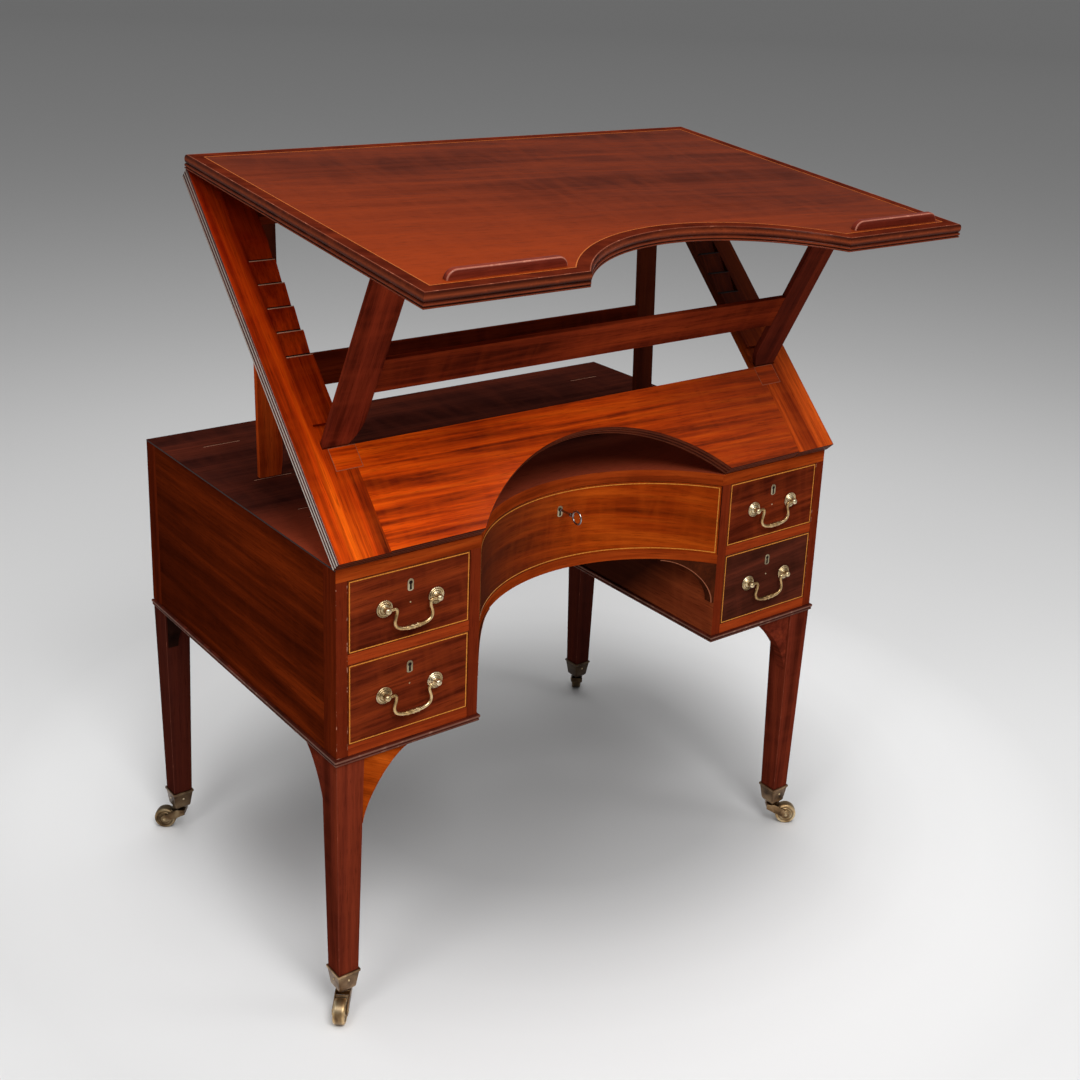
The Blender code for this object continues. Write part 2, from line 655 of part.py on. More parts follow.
# Bowed centre drawer with its keyhole and key
half = KNEE_HALF - SLIDE_GAP
height = CENTRE_OPENING - GAP - SLIDE_GAP
middle = SOFFIT_TOP_Z + GAP + height / 2
axis = empty("centre_drawer_axis", root, (0, 0, middle))
edge = [*arc(KNEE_HALF, KNEE_SAG, half), (half, DRAWER_DEPTH), (-half, DRAWER_DEPTH)]
wall = half - BOX_WALL
inside = [*arc(KNEE_HALF, KNEE_SAG, wall, FRONT_THICK)]
inside += [(wall, DRAWER_DEPTH - BOX_WALL), (-wall, DRAWER_DEPTH - BOX_WALL)]
wide = half + BOX_WALL
trim = [(-wide, FRONT_THICK), *arc(KNEE_HALF, KNEE_SAG, half, FRONT_THICK), (wide, FRONT_THICK)]
trim += [(wide, DRAWER_DEPTH + BOX_WALL), (-wide, DRAWER_DEPTH + BOX_WALL)]
centre = drawer_box("centre_drawer", axis, height, edge, inside, trim)
key_axis = empty("key_axis", axis, (0, KNEE_SAG, height / 2 - KEYHOLE_DROP))

bore = rod(KEY_SHANK_RADIUS + KEY_FIT, -FRONT_THICK, FRONT_THICK * 0.85, 16)
boolean(centre, helper("keyhole", bore, key_axis, (0, 0, 0)), "DIFFERENCE")
shank = rod(KEY_SHANK_RADIUS, -KEY_SHANK_OUT, KEY_SHANK_IN, 16)
key = piece("key", shank, key_axis, (0, 0, 0), IRON, True)
bpy.ops.mesh.primitive_torus_add(
    major_radius=KEY_RING_RADIUS, minor_radius=KEY_WIRE_RADIUS, major_segments=20, minor_segments=8
)
ring = bpy.context.active_object
for collection in list(ring.users_collection):
    collection.objects.unlink(ring)
ring_mesh = ring.data
bpy.data.objects.remove(ring, do_unlink=True)
ring_mesh.transform(Matrix.Rotation(math.pi / 2, 4, "Y"))
bow_place = (0, -KEY_SHANK_OUT - KEY_RING_RADIUS + KEY_WIRE_RADIUS / 2, 0)
boolean(key, helper("key_bow", ring_mesh, key_axis, bow_place), "UNION")

# Lower rising leaf: two notched stiles, the slope panel and the top rail
leaf = empty("lower_leaf_axis", root, LEAF_AXIS, LEAF_RISE)
for side, word in ((-1, "left"), (1, "right")):
    span = sorted((side * STILE_OUT, side * STILE_IN))
    shape = block(((span[0], 0, 0), (span[1], LEAF_LENGTH, LEAF_THICK)))
    stile = piece(word + "_stile", shape, leaf, (0, 0, 0), WOOD)
    above = LEAF_THICK + NOTCH_DEPTH
    floor_w = LEAF_THICK - NOTCH_DEPTH
    foot_from = PANEL_LENGTH
    foot_to = PANEL_LENGTH + FOOT_NOTCH_LENGTH
    teeth = [[(foot_from, floor_w), (foot_to, floor_w), (foot_to, above), (foot_from, above)]]
    for n in range(NOTCH_COUNT):
        u = LEAF_LENGTH - NOTCH_TOP_INSET - n * NOTCH_PITCH
        ramp = u + NOTCH_PITCH - NOTCH_LAND
        teeth.append([(u, floor_w), (ramp, LEAF_THICK + GAP), (ramp, above), (u, above)])
    width = NOTCH_WIDTH + STILE_WIDTH / 4
    set_x = side * (STILE_IN + NOTCH_WIDTH - width / 2)
    cut = helper(word + "_notches", slab(teeth, width, "YZ"), leaf, (set_x, 0, 0))
    boolean(stile, cut, "DIFFERENCE")

panel_half = STILE_IN - GAP
panel_edge = [(-panel_half, 0), *arc(CUT_HALF, CUT_SAG), (panel_half, 0)]
panel_edge += [(panel_half, PANEL_LENGTH), (-panel_half, PANEL_LENGTH)]
piece("slope_panel", slab([panel_edge], LEAF_THICK), leaf, (0, 0, LEAF_THICK / 2), BRIGHT)
rail = block(((-panel_half, LEAF_LENGTH - RAIL_WIDTH, 0), (panel_half, LEAF_LENGTH, LEAF_THICK)))
piece("leaf_top_rail", rail, leaf, (0, 0, 0), WOOD)

# Rear prop: a frame of two legs and a stretcher, hung under the leaf, standing on the case top
rear = empty("rear_prop_axis", leaf, (0, REAR_PROP_PIVOT, rear_hang), REAR_TURN - LEAF_RISE)
case_level = block(((-HALF, -CASE_DEPTH, TOP_Z - 4 * PROP_THICK), (HALF, 2 * CASE_DEPTH, TOP_Z + GAP)))
below_case_level = helper("below_case_level", case_level, root, (0, 0, 0))


def prop_side(length):
    """Side view of a prop leg, with its round head at the pivot and a little to spare at the foot."""
    r = PROP_THICK / 2
    head = [(r * math.cos(math.pi * n / 12), r * math.sin(math.pi * n / 12)) for n in range(13)]
    return head + [(-r, -length - PROP_THICK), (r, -length - PROP_THICK)]


def foot_round(leg, name, axis, side, inner, narrow, rise, length):
    """Rounds the inner edge of a prop leg off towards its foot, along a parabola."""
    beside = inner - narrow
    waste = [(beside, rise - length)]
    for n in range(13):
        t = n / 12
        waste.append((inner + narrow * t * t, (1 - t) * rise - length))
    waste += [(inner + narrow, -length - 3 * PROP_THICK), (beside, -length - 3 * PROP_THICK)]
    shape = slab([[(side * x, z) for x, z in waste]], 4 * PROP_THICK, "XZ")
    boolean(leg, helper(name, shape, axis, (0, 0, 0)), "DIFFERENCE")


for side, word in ((-1, "left"), (1, "right")):
    shape = slab([prop_side(REAR_LENGTH)], REAR_LEG_OUTER - REAR_LEG_INNER, "YZ")
    place = (side * (REAR_LEG_INNER + REAR_LEG_OUTER) / 2, 0, 0)
    rear_leg = piece("rear_prop_" + word + "_leg", shape, rear, place, DARK)
    narrow = REAR_LEG_WIDTH - REAR_FOOT_WIDTH
    rise = REAR_FOOT_CURVE
    foot_round(rear_leg, "rear_foot_" + word, rear, side, REAR_LEG_INNER, narrow, rise, REAR_LENGTH)
    boolean(rear_leg, below_case_level, "DIFFERENCE")
low = REAR_STRETCHER_LOW - REAR_LENGTH
bar_half = REAR_LEG_INNER - GAP
bar_y = STRETCHER_THICK / 2
shape = block(((-bar_half, -bar_y, low), (bar_half, bar_y, low + REAR_STRETCHER_HEIGHT)))
piece("rear_prop_stretcher", shape, rear, (0, 0, 0), DARK)

# Drawing board with its two book ledges
board_axis_place = (0, LEAF_LENGTH, LEAF_THICK + BOARD_AXIS_GAP)
board_axis = empty("board_axis", leaf, board_axis_place, -BOARD_OPEN)
board_bow = [(x, y - BOARD_LENGTH) for x, y in arc(BOARD_CUT_HALF, BOARD_CUT_SAG)]
board_edge = [(-BOARD_HALF, -BOARD_LENGTH), *board_bow, (BOARD_HALF, -BOARD_LENGTH)]
board_edge += [(BOARD_HALF, 0), (-BOARD_HALF, 0)]
piece("drawing_board", slab([board_edge], BOARD_THICK), board_axis, (0, 0, BOARD_THICK / 2), WOOD)
for side, word, inset in ((-1, "left", LEFT_LEDGE_INSET), (1, "right", RIGHT_LEDGE_INSET)):
    end = LEDGE_LENGTH / 2 - LEDGE_END
    quarter = [math.pi / 2 * n / 8 for n in range(9)]
    round_end = [(end + LEDGE_END * math.cos(t), LEDGE_HEIGHT * math.sin(t)) for t in quarter]
    outline = round_end + [(-x, z) for x, z in reversed(round_end)]
    middle = side * (BOARD_HALF - inset - LEDGE_LENGTH / 2)
    place = (middle, -BOARD_LENGTH + LEDGE_SETBACK + LEDGE_THICK / 2, BOARD_THICK + GAP)
    piece(word + "_ledge", slab([outline], LEDGE_THICK, "XZ"), board_axis, place, WOOD)

# Front prop: hung under the board, standing in the lowest notches of the leaf
front_hang = -(PROP_THICK / 2 + PROP_AXIS_GAP)
FRONT_PIVOT = BOARD_AXIS + flat @ Vector((0, -FRONT_PROP_PIVOT, front_hang))
foot_u = PANEL_LENGTH + FRONT_FOOT_SET
front_foot = LEAF_AXIS + lean @ Vector((0, foot_u, LEAF_THICK - NOTCH_DEPTH + GAP))
FRONT_LENGTH = (front_foot - FRONT_PIVOT).length
FRONT_TURN = math.asin((front_foot.y - FRONT_PIVOT.y) / FRONT_LENGTH)
front = empty("front_prop_axis", board_axis, (0, -FRONT_PROP_PIVOT, front_hang), FRONT_TURN - BOARD_TILT)
notch_floor = block(((-HALF, 0, -4 * PROP_THICK), (HALF, LEAF_LENGTH, LEAF_THICK - NOTCH_DEPTH + GAP)))
below_notch_floor = helper("below_notch_floor", notch_floor, leaf, (0, 0, 0))
for side, word in ((-1, "left"), (1, "right")):
    width = FRONT_LEG_OUTER - FRONT_LEG_INNER
    place = (side * (FRONT_LEG_OUTER + FRONT_LEG_INNER) / 2, 0, 0)
    front_leg = piece(
        "front_prop_" + word + "_leg", slab([prop_side(FRONT_LENGTH)], width, "YZ"), front, place, DARK
    )
    narrow = FRONT_LEG_WIDTH - FRONT_FOOT_WIDTH
    rise = FRONT_FOOT_CURVE
    foot_round(front_leg, "front_foot_" + word, front, side, FRONT_LEG_INNER, narrow, rise, FRONT_LENGTH)
    boolean(front_leg, below_notch_floor, "DIFFERENCE")
low = FRONT_STRETCHER_LOW - FRONT_LENGTH
bar_half = FRONT_LEG_INNER - GAP
shape = block(((-bar_half, -bar_y, low), (bar_half, bar_y, low + FRONT_STRETCHER_HEIGHT)))
piece("front_prop_stretcher", shape, front, (0, 0, 0), DARK)
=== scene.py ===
"""Looks of a mahogany architect's desk: veneers, mouldings, brasses, light and camera round its solids."""

import json
import math

import bmesh
import bpy
import numpy as np
from mathutils import Matrix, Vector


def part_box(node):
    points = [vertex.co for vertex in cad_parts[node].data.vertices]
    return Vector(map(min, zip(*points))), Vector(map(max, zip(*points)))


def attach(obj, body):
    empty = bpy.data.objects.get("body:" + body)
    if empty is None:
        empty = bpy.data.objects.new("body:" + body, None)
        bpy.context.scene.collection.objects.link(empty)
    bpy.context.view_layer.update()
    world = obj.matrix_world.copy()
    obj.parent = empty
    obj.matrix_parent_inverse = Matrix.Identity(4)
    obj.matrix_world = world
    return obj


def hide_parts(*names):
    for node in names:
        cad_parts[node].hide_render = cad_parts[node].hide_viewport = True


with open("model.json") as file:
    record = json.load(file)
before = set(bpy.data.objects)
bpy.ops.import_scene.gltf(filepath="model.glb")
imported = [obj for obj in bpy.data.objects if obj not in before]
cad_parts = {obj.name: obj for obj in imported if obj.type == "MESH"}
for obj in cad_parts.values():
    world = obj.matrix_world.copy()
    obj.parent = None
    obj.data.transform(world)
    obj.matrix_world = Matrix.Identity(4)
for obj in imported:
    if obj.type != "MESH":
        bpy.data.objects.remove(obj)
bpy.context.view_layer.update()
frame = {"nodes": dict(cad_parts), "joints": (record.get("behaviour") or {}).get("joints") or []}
scene = bpy.context.scene
NODES = frame["nodes"]
JOINTS = {joint["name"]: joint for joint in frame["joints"]}


def low_of(node):
    """The least corner of a solid's box."""
    return np.array(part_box(node)[0])


def high_of(node):
    """The greatest corner of a solid's box."""
    return np.array(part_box(node)[1])


def pivot(joint):
    """The place of a joint."""
    return np.array(JOINTS[joint]["pos_m"])


# Directions and angles
ACROSS, BACKWARD, UPWARD, FORWARD = (1, 0, 0), (0, 1, 0), (0, 0, 1), (0, -1, 0)
FRONT_LEFT, UP_AND_BACK, RIGHT_AND_UP = (-0.5, -0.866, 0), (0, 0.676, 0.737), (1, 0, 0.9)
LEVEL, FACING = (ACROSS, BACKWARD, UPWARD), (ACROSS, UPWARD, FORWARD)
SIDES = ((-1, "left"), (1, "right"))
QUARTER = math.pi / 2
LEAF_RISE, BOARD_TILT, PROP_LEAN = math.radians(46.3), math.radians(6.3), math.radians(27.1)

# Sizes that the looks share with the solids
FRONT_Y = low_of("left_side")[1]
BACK_Y = high_of("back_panel")[1]
HALF = high_of("case_top")[0]
TOP_Z = high_of("case_top")[2]
UNDER_TOP_Z = low_of("case_top")[2]
SIDE_Z = low_of("left_side")[2]
KNEE_HALF = low_of("right_inner_side")[0]
KNEE_SAG = 0.122
SIDE_THICK = 0.018
GAP = 0.0003
LEAF_LENGTH, LEAF_THICK = 0.638, 0.021
PANEL_LENGTH, CUT_HALF, CUT_SAG = 0.1655, 0.240, 0.1145
BOARD_LENGTH, BOARD_THICK = 0.646, 0.021
BOARD_CUT_HALF, BOARD_CUT_SAG = 0.236, 0.117
LEAF_HALF = high_of("right_stile")[0]
STILE_IN = low_of("right_stile")[0]
BOARD_HALF = high_of("drawing_board")[0]
BOW_RADIUS = (KNEE_HALF**2 + KNEE_SAG**2) / (2 * KNEE_SAG)
BOW_Y = FRONT_Y + KNEE_SAG - BOW_RADIUS
BOW_ARC = BOW_RADIUS * math.asin(KNEE_HALF / BOW_RADIUS)
BOW_COLUMNS = 61

# Veneer, stringing and worn edges
SKIN, BOW_SKIN, SKIN_EASE = 0.00022, 0.0004, 0.0001
LINE_LIFT, LINE_WIDTH, LINE_INSET = 0.00034, 0.0015, 0.0013
BOW_LINE_INSET, BOARD_LINE_INSET, BOARD_LINE_WIDTH = LINE_INSET + 0.001, 0.0205, 0.0013
RUBBED_WIDTH, BAND_LAP = 0.0016, 0.001
STRIP_WIDTH, ARRIS_WIDTH = 0.034, 0.0024
SPANDREL_TIP, SPANDREL_WEAR = 0.003, 0.0011
GROOVE_DEPTH, GROOVE_WEAR = 0.002, 0.0009
NOTCH_COUNT, NOTCH_PITCH, NOTCH_TOP_INSET = 5, 0.040, 0.165
NOTCH_DEPTH, NOTCH_LAND, NOTCH_WIDTH = 0.007, 0.0025, 0.042
NOTCH_WEAR, NOTCH_SHADE, NOTCH_SHY = 0.0014, 0.0052, 0.0004

# Finishes

AS_LAID, SLANTED, COUNTER_SLANTED = (0, 0, 0), (0, 0, math.radians(-4)), (0, 0, math.radians(4))
UP_FACE, UPRIGHT, ASKEW = (0, 0, QUARTER), (0, QUARTER, 0), (0, 0, 0.5)
UP_LEAF, UP_PROP = (-LEAF_RISE, 0, -QUARTER), (-PROP_LEAN, QUARTER, 0)
STREAKS, PORES, RIPPLE, CHIPS = (5, 170, 170), (36, 620, 620), (22, 5, 5), (75, 75, 75)
PATCHES, SPECKS = (45, 45, 45), (900, 900, 900)
PORE_SHADE, SPECKLE_SHADE, TARNISH = 0.35, 0.62, 0.6


def linear(r, g, b):
    """Linear colour of an 8-bit screen colour."""
    c = np.array([r, g, b]) / 255
    return (*np.where(c < 0.04045, c / 12.92, ((c + 0.055) / 1.055) ** 2.4), 1.0)


def darker(colour, share):
    """A share of a linear colour."""
    return tuple(share * c for c in colour[:3]) + (1,)


class Finish:
    """A node material that is put together link by link."""

    def __init__(self, name):
        self.material = bpy.data.materials.new(name)
        self.material.use_nodes = True
        self.tree = self.material.node_tree
        self.shader = self.tree.nodes["Principled BSDF"]

    def add(self, kind, **settings):
        """A new node with its settings."""
        node = self.tree.nodes.new(kind)
        for key, value in settings.items():
            setattr(node, key, value)
        return node

    def join(self, source, node, socket):
        """Link an output to a node's input."""
        self.tree.links.new(source, node.inputs[socket])

    def fixed(self, **values):
        """Set constants on the shader's inputs."""
        for key, value in values.items():
            self.shader.inputs[key.replace("_", " ")].default_value = value

    def marked(self, attribute, output="Fac"):
        """What a piece marks on its own points."""
        return self.add("ShaderNodeAttribute", attribute_name=attribute).outputs[output]

    def here(self):
        """Object coordinates."""
        return self.add("ShaderNodeTexCoord").outputs["Object"]

    def mapped(self, source, turn=AS_LAID, scale=(1, 1, 1)):
        """Coordinates that are turned or stretched."""
        node = self.add("ShaderNodeMapping")
        node.inputs["Rotation"].default_value = turn
        node.inputs["Scale"].default_value = scale
        self.join(source, node, "Vector")
        return node.outputs["Vector"]

    def noise(self, where, scale, detail=3.0, rough=0.5, bend=0.0):
        """Soft noise over coordinates that are stretched by scale."""
        node = self.add("ShaderNodeTexNoise")
        settings = (("Scale", 1.0), ("Detail", detail), ("Roughness", rough), ("Distortion", bend))
        for socket, value in settings:
            node.inputs[socket].default_value = value
        self.join(self.mapped(where, scale=scale), node, "Vector")
        return node.outputs["Fac"]

    def ramp(self, value, *stops):
        """A colour that runs through (place, colour) stops."""
        node = self.add("ShaderNodeValToRGB")
        band = node.color_ramp
        while len(band.elements) < len(stops):
            band.elements.new(0.5)
        for element, (place, colour) in zip(band.elements, stops):
            element.position = place
            element.color = colour
        self.join(value, node, "Fac")
        return node.outputs["Color"]

    def spread(self, value, low, high, to_low, to_high):
        """A value moved from the range low to high into another range, and held at its ends."""
        node = self.add("ShaderNodeMapRange")
        ends = (("From Min", low), ("From Max", high), ("To Min", to_low), ("To Max", to_high))
        for socket, number in ends:
            node.inputs[socket].default_value = number
        self.join(value, node, "Value")
        return node.outputs["Result"]

    def mix(self, share, first, second):
        """The first colour with a share of the second, which is a constant."""
        node = self.add("ShaderNodeMix", data_type="RGBA", blend_type="MIX")
        self.join(share, node, 0)
        self.join(first, node, 6)
        node.inputs[7].default_value = second
        return node.outputs[2]

    def drifted(self, colour, direction, start, stop, amount, other):
        """A colour that shifts towards another one between two distances along a direction."""
        where = self.add("ShaderNodeVectorMath", operation="DOT_PRODUCT")
        self.join(self.here(), where, 0)
        where.inputs[1].default_value = direction
        share = self.spread(where.outputs["Value"], start, stop, 0.0, amount)
        return self.mix(share, colour, linear(*other))

    def bump(self, height, strength, depth):
        """Roughen the surface's normal by a height."""
        node = self.add("ShaderNodeBump")
        node.inputs["Strength"].default_value = strength
        node.inputs["Distance"].default_value = depth
        self.join(height, node, "Height")
        self.join(node.outputs["Normal"], self.shader, "Normal")

    def shade(self, colour, rough):
        """The finished material, with its colour and roughness joined."""
        self.join(colour, self.shader, "Base Color")
        self.join(rough, self.shader, "Roughness")
        return self.material


def wood(name, tones, turn, own=True, figure=(1.5, 14), flame=0.25, polish=0.0, drift=(), worn=()):
    """Mahogany: broad ribbons, fine streaks and short pores, all drawn out along the grain.

    The grain runs along a piece's own grain attribute, or else along the solid's Object coordinates, turned.
    drift shifts the tone towards another colour between two distances along a direction; the finishes use it
    for painted shade, and on the case top and the board for painted light.
    worn is the pale tone of rubbed edges, on mouldings partly painted highlight along crests and arrises,
    which a piece marks in its wear attribute, and how much shows between the chips.
    """
    dark, middle, light = (linear(*tone) for tone in tones)
    look = Finish(name)
    grain = look.mapped(look.marked("grain", "Vector") if own else look.here(), turn)
    along, across = figure
    ribbon = look.noise(grain, (along, across, across), 5, 0.6, 0.35)
    streaks = look.noise(grain, STREAKS, 6, 0.62, 0.25)
    pores = look.noise(grain, PORES, 3, 0.55)
    ripple = look.noise(grain, RIPPLE, 2, 0.5, 1.4)
    colour = look.ramp(ribbon, (0.34, dark), (0.50, middle), (0.66, light))
    colour = look.mix(look.spread(streaks, 0.36, 0.62, 0.5, 0.0), colour, dark)
    colour = look.mix(look.spread(ripple, 0.40, 0.66, 0.0, flame), colour, light)
    if drift:
        colour = look.drifted(colour, *drift)
    if worn:
        pale, between = worn
        chips = look.noise(grain, CHIPS, 3, 0.6)
        rubbed = look.add("ShaderNodeMath", operation="MULTIPLY")
        look.join(look.marked("wear"), rubbed, 0)
        look.join(look.spread(chips, 0.57, 0.65, between, 1.0), rubbed, 1)
        colour = look.mix(rubbed.outputs["Value"], colour, linear(*pale))
    colour = look.mix(look.spread(pores, 0.30, 0.44, 0.45, 0.0), colour, darker(dark, PORE_SHADE))
    look.fixed(Specular_IOR_Level=0.5 * polish, Coat_Weight=polish, Coat_Roughness=0.12)
    look.bump(pores, 0.08, 0.0004)
    return look.shade(colour, look.spread(streaks, 0.3, 0.7, 0.34, 0.50))


def metal(name, tones, rough, drift=()):
    """Old cast metal: bright on the high places, tarnished in its hollows and in soft patches."""
    deep, middle, bright = (linear(*tone) for tone in tones)
    look = Finish(name)
    where = look.mapped(look.marked("grain", "Vector"))
    patch = look.noise(where, PATCHES, 4, 0.5, 0.3)
    speck = look.noise(where, SPECKS, 3, 0.6)
    tone = look.ramp(patch, (0.28, deep), (0.48, middle), (0.74, bright))
    colour = look.mix(look.spread(look.marked("wear"), 0.0, 1.0, 0.0, TARNISH), tone, deep)
    if drift:
        colour = look.drifted(colour, *drift)
    look.fixed(Metallic=1.0)
    look.bump(speck, 0.12, 0.0003)
    return look.shade(colour, look.spread(patch, 0.3, 0.7, rough + 0.12, rough))


def plain(name, tone, smooth, dull, size):
    """A single tone with a soft speckle, for stringing, worn edges and the painted shade of hollows."""
    colour = linear(*tone)
    look = Finish(name)
    speckle = look.noise(look.marked("grain", "Vector"), (size, size, size), 3)
    tone = look.ramp(speckle, (0.3, darker(colour, SPECKLE_SHADE)), (0.6, colour))
    look.fixed(Specular_IOR_Level=0.1)
    return look.shade(tone, look.spread(speckle, 0.3, 0.7, smooth, dull))


# Painted shade: casters, cups and wheels darken towards the back of the desk
PAINTED_BACK_SHADE = ((0.25, 0.97, 0), -0.05, 0.43, 0.8, (44, 34, 27))
